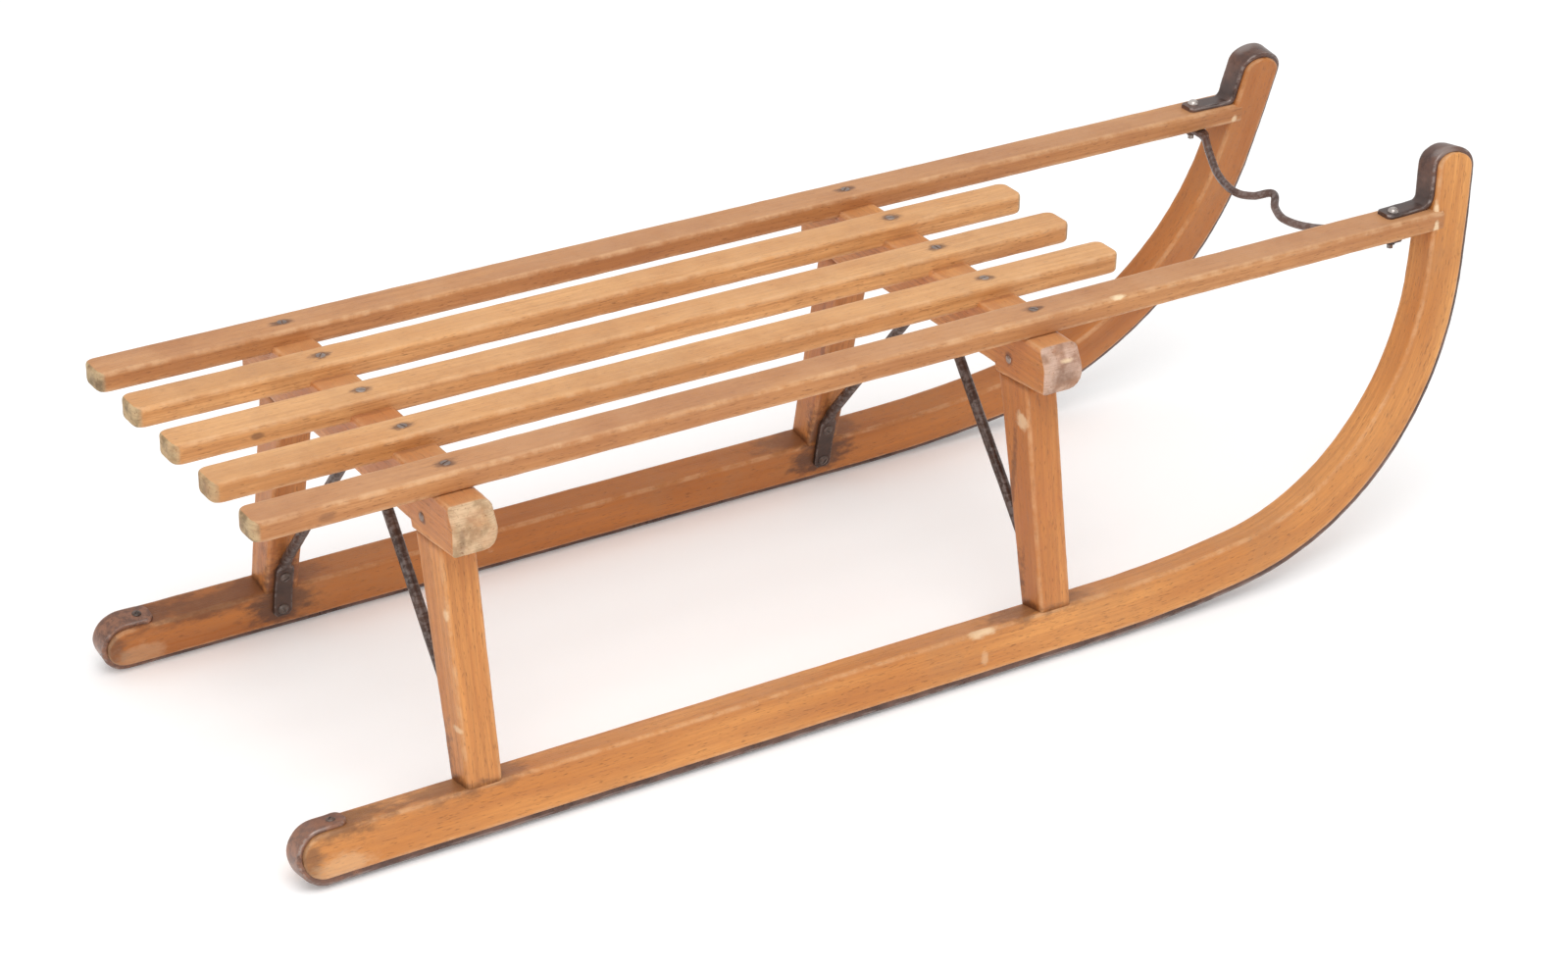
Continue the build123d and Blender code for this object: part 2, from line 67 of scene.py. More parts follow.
def addNode(tree, kind, inputs=None, **settings):
    made = tree.nodes.new("ShaderNode" + kind)
    for key, value in settings.items():
        setattr(made, key, value)
    for key, value in (inputs or {}).items():
        if isinstance(value, bpy.types.NodeSocket):
            tree.links.new(value, made.inputs[key])
        else:
            made.inputs[key].default_value = value
    return made


def sums(tree, operation, first, second=0.0, third=0.0):
    return addNode(tree, "Math", {0: first, 1: second, 2: third}, operation=operation).outputs[0]


def vectors(tree, operation, first, second=(0, 0, 0)):
    made = addNode(tree, "VectorMath", {0: first, 1: second}, operation=operation)
    return made.outputs["Value" if operation in ("LENGTH", "DOT_PRODUCT") else "Vector"]


def times(tree, first, second):
    return sums(tree, "MULTIPLY", first, second)


def stretched(tree, place, scale):
    return vectors(tree, "MULTIPLY", place, scale)


def speckle(tree, place, scale=1.0, detail=2.0, roughness=0.5):
    inputs = {"Vector": place, "Scale": scale, "Detail": detail, "Roughness": roughness}
    return addNode(tree, "TexNoise", inputs).outputs[0]


def ramp(tree, value, low, high, toLow=0.0, toHigh=1.0):
    inputs = {0: value, 1: low, 2: high, 3: toLow, 4: toHigh}
    return addNode(tree, "MapRange", inputs, interpolation_type="SMOOTHSTEP").outputs[0]


def mixed(tree, factor, first, second, mode="MIX"):
    made = addNode(tree, "Mix", {0: factor}, data_type="RGBA", blend_type=mode)
    for index, value in ((6, first), (7, second)):
        if isinstance(value, bpy.types.NodeSocket):
            tree.links.new(value, made.inputs[index])
        else:
            made.inputs[index].default_value = (*value, 1.0)
    return made.outputs[2]


def patches(tree, place, ragged, spots):
    # one mask for every listed patch: its centre, its reach along x, y and z, and how strong it is
    total = None
    for centre, reach, strength in spots:
        offset = vectors(tree, "SUBTRACT", place, centre)
        away = vectors(tree, "LENGTH", vectors(tree, "DIVIDE", offset, reach))
        mask = ramp(tree, sums(tree, "ADD", away, ragged), 1.15, 0.45, 0.0, strength)
        total = mask if total is None else sums(tree, "MAXIMUM", total, mask)
    return total


def newMaterial(name):
    material = bpy.data.materials.new(name)
    material.use_nodes = True
    return material, material.node_tree, material.node_tree.nodes["Principled BSDF"]


def embossed(tree, shader, material, height, strength, distance):
    bump = addNode(tree, "Bump", {"Height": height, "Strength": strength, "Distance": distance})
    tree.links.new(bump.outputs[0], shader.inputs["Normal"])
    return material


def woodMaterial(name, look, stainsAndPaintedLight=(), chips=()):
    material, tree, shader = newMaterial(name)
    grain = addNode(tree, "Attribute", attribute_name="grain").outputs["Vector"]
    edge = addNode(tree, "Attribute", attribute_name="edge").outputs["Fac"]
    cut = addNode(tree, "Attribute", attribute_name="cut").outputs["Fac"]
    place = addNode(tree, "TexCoord").outputs["Object"]
    normal = addNode(tree, "TexCoord").outputs["Normal"]
    # growth rings seen as long figure, fine fibres, and short dark pores
    sway = stretched(tree, grain, (2.2, 14, 14))
    swayed = addNode(tree, "TexNoise", {"Vector": sway, "Scale": 1.0, "Detail": 2.0}).outputs[1]
    shift = stretched(tree, vectors(tree, "SUBTRACT", swayed, (0.5, 0.5, 0.5)), (0, 0.016, 0.016))
    bent = vectors(tree, "ADD", grain, shift)
    ringPlace = stretched(tree, bent, (0.05, 1, 1))
    rings = addNode(tree, "TexWave", {"Vector": ringPlace, "Scale": look["rings"], "Distortion": 1.2,
                                      "Detail": 2.0, "Detail Scale": 40.0},
                    wave_type="RINGS", rings_direction="X").outputs[1]
    broad = speckle(tree, stretched(tree, bent, (5, 110, 110)), 1.0, 3.0, 0.6)
    fibres = speckle(tree, stretched(tree, bent, (16, 620, 620)), 1.0, 4.0, 0.65)
    pores = speckle(tree, stretched(tree, bent, (150, 1150, 1150)), 1.0, 1.0, 0.5)
    pores = ramp(tree, pores, 0.6, 0.74)
    tone = speckle(tree, stretched(tree, bent, (3.5, 26, 26)), 1.0, 3.0, 0.55)
    colour = mixed(tree, ramp(tree, tone, 0.32, 0.7), look["dark"], look["light"])
    figure = times(tree, ramp(tree, rings, 0.45, 0.95), look["figure"])
    colour = mixed(tree, figure, colour, look["ring"])
    colour = mixed(tree, ramp(tree, broad, 0.4, 0.72, 0.0, 0.42), colour, look["ring"])
    colour = mixed(tree, ramp(tree, fibres, 0.38, 0.7, 0.0, look["fibre"]), colour, look["streak"])
    colour = mixed(tree, times(tree, pores, 0.5), colour, look["pore"])
    # tops painted paler than the sides: painted light falling from above, broken into uneven patches
    upward = ramp(tree, addNode(tree, "SeparateXYZ", {0: normal}).outputs[2], 0.55, 0.95)
    patchy = ramp(tree, speckle(tree, place, 16.0, 4.0, 0.6), 0.3, 0.62, 0.45, 1.0)
    paintedTopLight = times(tree, upward, patchy)
    colour = mixed(tree, times(tree, paintedTopLight, look["paintedTopLight"]), colour, look["paintedLightAndWear"])
    # wear along the arrises
    nibble = speckle(tree, place, 55.0, 5.0, 0.7)
    worn = times(tree, ramp(tree, edge, 0.25, 0.95), ramp(tree, nibble, 0.38, 0.66, 0.18, 1.0))
    worn = times(tree, worn, look["wear"])
    colour = mixed(tree, worn, colour, look["wornEdge"])
    # sawn ends, greyed, with pits and saw lines
    sawLines = speckle(tree, stretched(tree, place, (70, 70, 1600)), 1.0, 2.0, 0.5)
    endPatch = speckle(tree, place, 85.0, 5.0, 0.6)
    endColour = mixed(tree, ramp(tree, endPatch, 0.34, 0.6), look["endDark"], look["endLight"])
    endColour = mixed(tree, ramp(tree, sawLines, 0.46, 0.66, 0.0, 0.3), endColour, look["endLine"])
    holes = ramp(tree, speckle(tree, place, 420.0, 2.0, 0.6), 0.63, 0.72, 0.0, 0.6)
    endColour = mixed(tree, holes, endColour, look["pore"])
    facing = sums(tree, "ABSOLUTE", vectors(tree, "DOT_PRODUCT", normal, look["endAxis"]))
    ends = times(tree, cut, ramp(tree, facing, 0.28, 0.5))
    ends = times(tree, ends, ramp(tree, nibble, 0.25, 0.55, 0.6, 1.0))
    colour = mixed(tree, ends, colour, endColour)
    # dark stains, with painted shade where parts meet, and pale chips
    ragged = speckle(tree, stretched(tree, place, (75, 150, 150)), 1.0, 5.0, 0.65)
    ragged = ramp(tree, ragged, 0.25, 0.75, -0.32, 0.32)
    if stainsAndPaintedLight:
        colour = mixed(tree, patches(tree, place, ragged, stainsAndPaintedLight), colour, look["stainAndShade"])
    if chips:
        colour = mixed(tree, patches(tree, place, ragged, chips), colour, look["chip"])
    smudge = ramp(tree, speckle(tree, place, 9.0, 6.0, 0.75), 0.44, 0.72, 0.0, 0.42)
    colour = mixed(tree, smudge, colour, look["grime"])
    tree.links.new(colour, shader.inputs["Base Color"])
    gloss = ramp(tree, speckle(tree, place, 60.0, 3.0, 0.6), 0.2, 0.8, look["rough"][0], look["rough"][1])
    gloss = sums(tree, "MAXIMUM", gloss, times(tree, sums(tree, "MAXIMUM", worn, ends), 0.68))
    tree.links.new(gloss, shader.inputs["Roughness"])
    shader.inputs["Specular IOR Level"].default_value = 0.3
    height = sums(tree, "ADD", times(tree, fibres, 0.6), times(tree, broad, 0.8))
    height = sums(tree, "SUBTRACT", height, times(tree, pores, 0.5))
    height = sums(tree, "ADD", height, times(tree, times(tree, cut, sawLines), 2.0))
    return embossed(tree, shader, material, height, 0.5, 0.6 * mm)


def ironMaterial(name, look, stainsAndPaintedLight=(), blued=None, rusted=None):
    material, tree, shader = newMaterial(name)
    place = addNode(tree, "TexCoord").outputs["Object"]
    edge = addNode(tree, "Attribute", attribute_name="edge").outputs["Fac"]
    cloud = speckle(tree, place, 28.0, 5.0, 0.65)
    pits = speckle(tree, place, 420.0, 4.0, 0.7)
    scuffAndGlint = speckle(tree, stretched(tree, place, (60, 300, 300)), 1.0, 3.0, 0.6)
    colour = mixed(tree, ramp(tree, cloud, 0.36, 0.66), look["dark"], look["mid"])
    rust = times(tree, ramp(tree, speckle(tree, place, 75.0, 5.0, 0.7), 0.46, 0.66), look["rusting"])
    colour = mixed(tree, rust, colour, look["rust"])
    colour = mixed(tree, ramp(tree, pits, 0.5, 0.72, 0.0, look["pitted"]), colour, look["pit"])
    # worn bare metal along the rounded edges, painted pale as glints: part real wear, part painted highlight
    paintedLightAndWear = times(tree, ramp(tree, edge, 0.3, 0.95), ramp(tree, scuffAndGlint, 0.42, 0.62))
    paintedLightAndWear = times(tree, paintedLightAndWear, look["wearAndGlint"])
    ragged = ramp(tree, cloud, 0.25, 0.75, -0.4, 0.4)
    if rusted:
        scale = times(tree, patches(tree, place, ragged, [(rusted[0], rusted[1], 1.0)]),
                     ramp(tree, speckle(tree, place, 130.0, 6.0, 0.75), 0.4, 0.6, 0.25, 1.0))
        colour = mixed(tree, scale, colour, look["scale"])
    if blued:
        handled = patches(tree, place, ragged, [(blued[0], blued[1], 0.72)])
        colour = mixed(tree, handled, colour, look["handled"])
    # these patches are painted highlights, brightened like the edge glints
    if stainsAndPaintedLight:
        paintedLightAndWear = sums(tree, "MAXIMUM", paintedLightAndWear, patches(tree, place, ragged, stainsAndPaintedLight))
    colour = mixed(tree, paintedLightAndWear, colour, look["paintedLightAndWear"])
    tree.links.new(colour, shader.inputs["Base Color"])
    metal = ramp(tree, rust, 0.0, 0.8, look["metal"], 0.15)
    tree.links.new(sums(tree, "MAXIMUM", metal, times(tree, paintedLightAndWear, 0.9)), shader.inputs["Metallic"])
    dull = ramp(tree, cloud, 0.3, 0.7, look["rough"][0], look["rough"][1])
    tree.links.new(sums(tree, "SUBTRACT", dull, times(tree, paintedLightAndWear, 0.16)), shader.inputs["Roughness"])
    height = sums(tree, "ADD", pits, times(tree, cloud, 1.5))
    return embossed(tree, shader, material, height, 0.35, look["grit"])


# mesh helpers

ringLook = {"arcSteps": 4, "flatSteps": 4, "support": 2.2 * mm}


def cornerRing(across, up, spans, radii):
    # a rounded rectangle as (point, across, up, edge) going round from the lower high-across corner
    a0, a1, b0, b1 = spans
    corners = ((a1, b0, -90), (a1, b1, 0), (a0, b1, 90), (a0, b0, 180))
    limit = 0.49 * min(a1 - a0, b1 - b0)
    arcs = []
    for (a, b, turn), radius in zip(corners, radii):
        r = max(min(radius, limit), 1e-6)
        ca = a - r if a == a1 else a + r
        cb = b - r if b == b1 else b + r
        steps = [radians(turn + 90 * k / ringLook["arcSteps"]) for k in range(ringLook["arcSteps"] + 1)]
        arcs.append([(ca + r * cos(t), cb + r * sin(t)) for t in steps])
    ring = []
    for index, arc in enumerate(arcs):
        last = len(arc) - 1
        ring += [(a, b, 0.6 if k in (0, last) else 1.0) for k, (a, b) in enumerate(arc)]
        (fa, fb), (ta, tb) = arc[-1], arcs[(index + 1) % 4][0]
        length = sqrt((ta - fa) ** 2 + (tb - fb) ** 2)
        near = min(ringLook["support"], 0.22 * length) / max(length, 1e-9)
        shares = [near] + [near + (1 - 2 * near) * k / (ringLook["flatSteps"] + 1)
                           for k in range(1, ringLook["flatSteps"] + 1)] + [1 - near]
        for k, share in enumerate(shares):
            worn = 0.12 if k in (0, len(shares) - 1) else 0.0
            ring.append((fa + (ta - fa) * share, fb + (tb - fb) * share, worn))
    return [(across * a + up * b, a, b, worn) for a, b, worn in ring]


def tubeFaces(rowsCount, count, base=0):
    # quads between rings of the same number of points, then the two end faces
    faces = []
    last = base + (rowsCount - 1) * count
    for low in range(base, last, count):
        for k in range(count):
            nextK = (k + 1) % count
            faces.append((low + k, low + nextK, low + count + nextK, low + count + k))
    return faces + [tuple(range(base, base + count))[::-1], tuple(range(last, last + count))]


def newMesh(name, verts, faces):
    mesh = bpy.data.meshes.new(name)
    mesh.from_pydata(verts, [], faces)
    return mesh


def newObject(name, data):
    made = bpy.data.objects.new(name, data)
    bpy.context.scene.collection.objects.link(made)
    return made


def loftPiece(name, stations, material, seed=0.0, wobble=0.2 * mm, dent=0.25 * mm):
    # each station: centre, across, up, spans, radii, distance along, end weight
    verts, grains, edges, cuts = [], [], [], []
    offset = Vector((seed * 1.37, 0.05 + 0.013 * (seed % 5), 0.03 + 0.017 * (seed % 3)))
    for centre, across, up, spans, radii, along, end in stations:
        for shift, a, b, worn in cornerRing(across, up, spans, radii):
            point = centre + shift
            drift = noise.noise_vector(point * 9 + offset * 7) * wobble
            knock = noise.noise_vector(point * 120 + offset * 31) * (dent * worn)
            verts.append(point + drift + knock)
            grains.append(Vector((along, a, b)) + offset)
            edges.append(worn)
            cuts.append(end)
    mesh = newMesh(name, verts, tubeFaces(len(stations), len(verts) // len(stations)))
    for label, values in (("edge", edges), ("cut", cuts)):
        layer = mesh.attributes.new(label, "FLOAT", "POINT")
        layer.data.foreach_set("value", values)
    layer = mesh.attributes.new("grain", "FLOAT_VECTOR", "POINT")
    layer.data.foreach_set("vector", [c for value in grains for c in value])
    return finishMesh(name, mesh, material)


def finishMesh(name, mesh, material):
    work = bmesh.new()
    work.from_mesh(mesh)
    bmesh.ops.recalc_face_normals(work, faces=work.faces)
    for vert in work.verts:  # nothing stands past the frame's own box
        vert.co = [min(max(value, low), high) for value, low, high in zip(vert.co, *cadBounds)]
    for face in work.faces:
        face.smooth = len(face.verts) < 12
    work.to_mesh(mesh)
    work.free()
    mesh.materials.append(material)
    return newObject(name, mesh)


def dress(piece, slot, *nodes):
    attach(piece, "root")
    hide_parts(*nodes)
    return piece


def roundedInset(distance, radius):
    # how far a rounded corner has drawn in, at a distance from the end
    if distance >= radius:
        return 0.0
    return radius - sqrt(max(radius**2 - (radius - distance) ** 2, 0.0))


def endSteps(radius, count=7):
    return [radius * (1 - cos(pi / 2 * k / count)) for k in range(count + 1)]


def spread(start, stop, step):
    count = max(1, round(abs(stop - start) / step))
    return [start + (stop - start) * k / count for k in range(count + 1)]


# woods and irons

# in the wood looks, the pale top colour is painted light from above
slatLook = {
    "dark": (0.46, 0.2, 0.068), "light": (0.66, 0.33, 0.132), "ring": (0.42, 0.17, 0.052),
    "streak": (0.36, 0.15, 0.052), "pore": (0.17, 0.062, 0.02), "paintedLightAndWear": (0.63, 0.35, 0.165),
    "wornEdge": (0.74, 0.47, 0.265), "endDark": (0.23, 0.165, 0.085), "endLight": (0.55, 0.39, 0.215),
    # the stain colour also paints shade where parts meet
    "endLine": (0.19, 0.125, 0.065), "stainAndShade": (0.095, 0.043, 0.027), "chip": (0.86, 0.66, 0.42),
    "grime": (0.4, 0.19, 0.078), "rings": 70.0, "figure": 0.36, "fibre": 0.5, "paintedTopLight": 0.55, "wear": 0.5,
    "rough": (0.38, 0.54), "endAxis": (1, 0, 0),
}
trestleLook = dict(slatLook, dark=(0.47, 0.165, 0.042), light=(0.68, 0.29, 0.086), ring=(0.42, 0.15, 0.046),
                   paintedLightAndWear=(0.64, 0.36, 0.175), endDark=(0.36, 0.22, 0.125), endLight=(0.57, 0.37, 0.23),
                   grime=(0.44, 0.135, 0.05), endLine=(0.27, 0.165, 0.095), endAxis=(0, 1, 0),
                   rings=60.0, paintedTopLight=0.4, wear=0.38, rough=(0.32, 0.48))
runnerLook = dict(slatLook, dark=(0.54, 0.205, 0.05), light=(0.75, 0.345, 0.104), ring=(0.45, 0.165, 0.048),
                  paintedLightAndWear=(0.56, 0.27, 0.105), streak=(0.43, 0.165, 0.052), endDark=(0.34, 0.2, 0.1),
                  endLight=(0.56, 0.35, 0.18), rings=46.0, figure=0.32, paintedTopLight=0.3, wear=0.42,
                  rough=(0.34, 0.5))
# a darker copy of the runner wood for the far runner: painted shade
farRunnerShadedLook = dict(runnerLook, dark=(0.36, 0.11, 0.022), light=(0.56, 0.2, 0.045), paintedLightAndWear=(0.4, 0.15, 0.042))
# in the iron looks, the pale edge colour is worn metal with painted glints
bandLook = {"dark": (0.075, 0.04, 0.032), "mid": (0.165, 0.092, 0.07), "rust": (0.2, 0.085, 0.048),
            "pit": (0.04, 0.022, 0.018), "paintedLightAndWear": (0.42, 0.37, 0.35), "rusting": 0.35, "pitted": 0.22,
            "wearAndGlint": 0.4, "metal": 0.25, "rough": (0.24, 0.42), "grit": 0.00014,
            "scale": (0.29, 0.135, 0.08), "handled": (0.05, 0.034, 0.031)}
forgedLook = dict(bandLook, dark=(0.048, 0.026, 0.019), mid=(0.082, 0.045, 0.033), rust=(0.13, 0.058, 0.032),
                  pit=(0.018, 0.01, 0.008), rusting=0.25, pitted=0.16, wearAndGlint=0.25, metal=0.35,
                  rough=(0.26, 0.44), grit=0.0002)
screwLook = dict(bandLook, dark=(0.2, 0.15, 0.13), mid=(0.38, 0.31, 0.275), rust=(0.17, 0.085, 0.055),
                 rusting=0.4, wearAndGlint=0.6, metal=0.7, rough=(0.32, 0.5), grit=0.00015)

# shared places, taken from the frame

beamPlaces = {}
for label in ("rear", "front"):
    low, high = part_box(f"{label}_brace")
    beamPlaces[label] = (low.x + high.x) / 2
railLow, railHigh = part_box("rail_left")
seatTop, seatFloor = railHigh.z, railLow.z
rows = {"rail_right": -2, "slat_right": -1, "slat_middle": 0, "slat_left": 1, "rail_left": 2}
slatPitch = (railLow.y + railHigh.y) / 4

# slats and rails

slat = {"cornerRadius": 9 * mm, "arris": 3 * mm, "step": 14 * mm, "screwReach": (0.0098, 0.0056, 0.006)}
railLook = dict(slatLook, dark=(0.4, 0.155, 0.052), light=(0.6, 0.285, 0.11), paintedLightAndWear=(0.56, 0.3, 0.15),
                streak=(0.33, 0.13, 0.046), grime=(0.36, 0.15, 0.066))
# the middle slats' wood is brightened as painted light, making up for the shade between the slats
middleSlatLitLook = dict(slatLook, dark=(0.56, 0.25, 0.084), light=(0.8, 0.43, 0.175), paintedLightAndWear=(0.69, 0.385, 0.175),
                  ring=(0.52, 0.22, 0.066))
railMarks = {  # dark stains, then pale chips
    "rail_right": ([((-0.478, -0.143, 0.266), (0.007, 0.005, 0.004), 0.45),
                    ((-0.529, -0.121, 0.264), (0.008, 0.01, 0.009), 0.35)],
                   [((0.176, -0.142, 0.2735), (0.007, 0.004, 0.002), 0.9),
                    ((0.4865, -0.143, 0.262), (0.003, 0.004, 0.007), 0.8)]),
    "rail_left": ([((-0.529, 0.12, 0.264), (0.008, 0.012, 0.008), 0.35)],
                  [((0.4865, 0.113, 0.262), (0.003, 0.004, 0.004), 0.7)]),
    "slat_middle": ([((-0.47, -0.015, 0.267), (0.006, 0.003, 0.003), 0.6)], []),
}


def slatStations(low, high, squareFront):
    middle = Vector((0, (low.y + high.y) / 2, (low.z + high.z) / 2))
    halfWidth, halfHeight = (high.y - low.y) / 2, (high.z - low.z) / 2
    near = sorted(set([0.4 * mm] + endSteps(slat["arris"], 5) + endSteps(slat["cornerRadius"], 9)))
    length = high.x - low.x
    inner = spread(slat["cornerRadius"], length - slat["cornerRadius"], slat["step"])
    places = near[:-1] + inner + [length - d for d in reversed(near[:-1])]
    stations = []
    for d in places:
        fromEnd = min(d, length - d)
        square = squareFront and d > length / 2
        plan = 0.0 if square else roundedInset(fromEnd, slat["cornerRadius"])
        arris = 0.0 if square else roundedInset(fromEnd, slat["arris"])
        end = 0.0 if square else max(0.0, min(1.0, 1.6 - fromEnd / (5 * mm)))
        w, h = halfWidth - plan - 0.5 * arris, halfHeight - arris
        r = slat["arris"]
        centre = middle + xAxis * (low.x + d)
        stations.append((centre, yAxis, zAxis, (-w, w, -h, h), (r,) * 4, d, end))
    return stations


for index, (name, row) in enumerate(rows.items()):
    low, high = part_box(name)
    stainsAndPaintedLight, chips = railMarks.get(name, ([], []))
    screws = [((x, row * slatPitch, seatTop), slat["screwReach"], 0.82) for x in beamPlaces.values()]
    # the middle slats take the brightened copy: painted light
    look = railLook if name.startswith("rail") else middleSlatLitLook
    material = woodMaterial(f"{name}_wood", look, screws + stainsAndPaintedLight, chips)
    stations = slatStations(low, high, name.startswith("rail"))
    dress(loftPiece(f"{name}_shaped", stations, material, seed=index + 1), "slat_wood", name)
print("slats done")

# runners, drawn in their own leaning plane

runner = {
    "lean": radians(9.25), "track": 0.34, "lift": 7.609 * mm, "width": 27 * mm, "height": 34 * mm,
    "bendStart": 44 * mm, "toeRadius": 1.08, "toeAngle": radians(7.5), "bendRadius": 0.258,
    "bendAngle": radians(71), "hornRadius": 1.35, "hornAngle": radians(3.6), "crown": 12 * mm,
    "arris": 2.5 * mm,
}
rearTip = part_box("runner_left")[0].x
rearTurn = rearTip + runner["height"] / 2
bendStart = beamPlaces["front"] + runner["bendStart"]


def runnerPoint(side, along, up, inward=0.0):
    lean = runner["lean"]
    y = runner["track"] / 2 - up * sin(lean) - inward * cos(lean)
    z = runner["lift"] + up * cos(lean) - inward * sin(lean)
    return Vector((along, side * y, z))


def inwardOf(side):
    return Vector((0, -side * cos(runner["lean"]), -sin(runner["lean"])))


def wayOf(side, along, up):
    return runnerPoint(side, along, up) - runnerPoint(side, 0, 0)


def upOf(side, turn):
    # the runner's own upward direction where its sole has turned by this angle
    return wayOf(side, -sin(turn), cos(turn))


def solePath():
    # (x, up, turn, distance) along the sole, from the rear turn to the horn
    path = [(x, 0.0, 0.0, x - rearTurn) for x in spread(rearTurn, bendStart, 16 * mm)]
    x, up, turn = bendStart, 0.0, 0.0
    total = bendStart - rearTurn
    for radius, angle, step in ((runner["toeRadius"], runner["toeAngle"], 14 * mm),
                                (runner["bendRadius"], runner["bendAngle"], 7 * mm),
                                (runner["hornRadius"], runner["hornAngle"], 8 * mm)):
        cx, cu = x - radius * sin(turn), up + radius * cos(turn)
        for t in spread(turn, turn + angle, step / radius)[1:]:
            path.append((cx + radius * sin(t), cu - radius * cos(t), t, total + radius * (t - turn)))
        total += radius * angle
        turn += angle
        x, up = cx + radius * sin(turn), cu - radius * cos(turn)
    return path


sole = solePath()


def runnerStations(side):
    half, w, r = runner["height"] / 2, runner["width"] / 2, runner["arris"]
    across = inwardOf(side)
    stations = []
    ease = 2.5 * mm
    for d in endSteps(half, 12)[:-1]:
        d = max(d, 0.25 * mm)
        h = sqrt(half**2 - (half - d) ** 2)
        narrow = w - roundedInset(d, ease)
        centre = runnerPoint(side, rearTip + d, half)
        stations.append((centre, across, upOf(side, 0), (-narrow, narrow, -h, h), (r,) * 4, d - half,
                         0.5 * max(0.0, 1 - d / (0.6 * half))))
    for x, up, turn, along in sole:
        centre = runnerPoint(side, x - half * sin(turn), up + half * cos(turn))
        stations.append((centre, across, upOf(side, turn), (-w, w, -half, half), (r,) * 4, along, 0.0))
    x, up, turn, along = sole[-1]
    crown = runner["crown"]
    for d in reversed(endSteps(crown, 12)[:-1]):
        d = max(d, 0.25 * mm)
        h = half * sqrt(1 - ((crown - d) / crown) ** 2)
        narrow = w - roundedInset(d, ease)
        reach = crown - d
        centre = runnerPoint(side, x - half * sin(turn) + reach * cos(turn),
                             up + half * cos(turn) + reach * sin(turn))
        stations.append((centre, across, upOf(side, turn), (-narrow, narrow, -h, h), (r,) * 4,
                         along + reach, 0.3))
    return stations


def runnerStains(side):
    # listed as distance along, height up the runner, distance inward, reach, strength
    spots = []
    for x in beamPlaces.values():
        spots += [(x, 20, runner["width"] / 2, (0.034, 0.012, 0.022), 0.86),
                  (x - 16 * mm, 34, 0, (0.05, 0.017, 0.009), 0.6),
                  (x + 16 * mm, 34, 0, (0.028, 0.017, 0.007), 0.45)]
    spots += [(rearTurn + 12 * mm, 34, 0, (0.062, 0.018, 0.012), 0.66),
              (rearTip + 3 * mm, 17, 0, (0.016, 0.03, 0.024), 0.62)]
    if side > 0:
        spots.append((beamPlaces["rear"] - 55 * mm, 33, 8 * mm, (0.07, 0.016, 0.009), 0.6))
    return [(runnerPoint(side, x, up * mm, inward), reach, strength)
            for x, up, inward, reach, strength in spots]


chipPlaces = {1: [((-0.2, 0.15, 0.02), (0.008, 0.004, 0.004), 0.7),
                  ((-0.5, 0.155, 0.014), (0.022, 0.008, 0.012), 0.2)],
              -1: [((0.04, -0.176, 0.0405), (0.016, 0.003, 0.005), 0.75),
                   ((0.488, -0.141, 0.272), (0.0025, 0.005, 0.014), 0.75),
                   ((0.514, -0.14, 0.31), (0.012, 0.004, 0.004), 0.55),
                   ((-0.496, -0.183, 0.016), (0.026, 0.008, 0.012), 0.24),
                   ((0.04, -0.183, 0.024), (0.004, 0.004, 0.01), 0.3)]}
for side, name in bothSides:
    # the far runner takes the darker copy: painted shade
    look = runnerLook if side < 0 else farRunnerShadedLook
    material = woodMaterial(f"runner_{name}_wood", look, runnerStains(side), chipPlaces[side])
    dress(loftPiece(f"runner_{name}_bent", runnerStations(side), material, seed=10 + side, wobble=0.3 * mm),
          "runner_wood", f"runner_{name}")
print("runners done")

# sole bands

band = {"width": 20 * mm, "sole": 6.5 * mm, "rear": 4 * mm, "tab": 3 * mm, "crown": 4.5 * mm, "back": 3.5 * mm,
        "round": 2.8 * mm, "tabLength": 21 * mm, "tabCorner": 6 * mm, "holdWidth": 17 * mm,
        "holdCorner": 4 * mm, "bendRadius": 6.5 * mm, "holdLength": 9 * mm}
boltLow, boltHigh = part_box("horn_nuts")
boltX = (boltLow.x + boltHigh.x) / 2


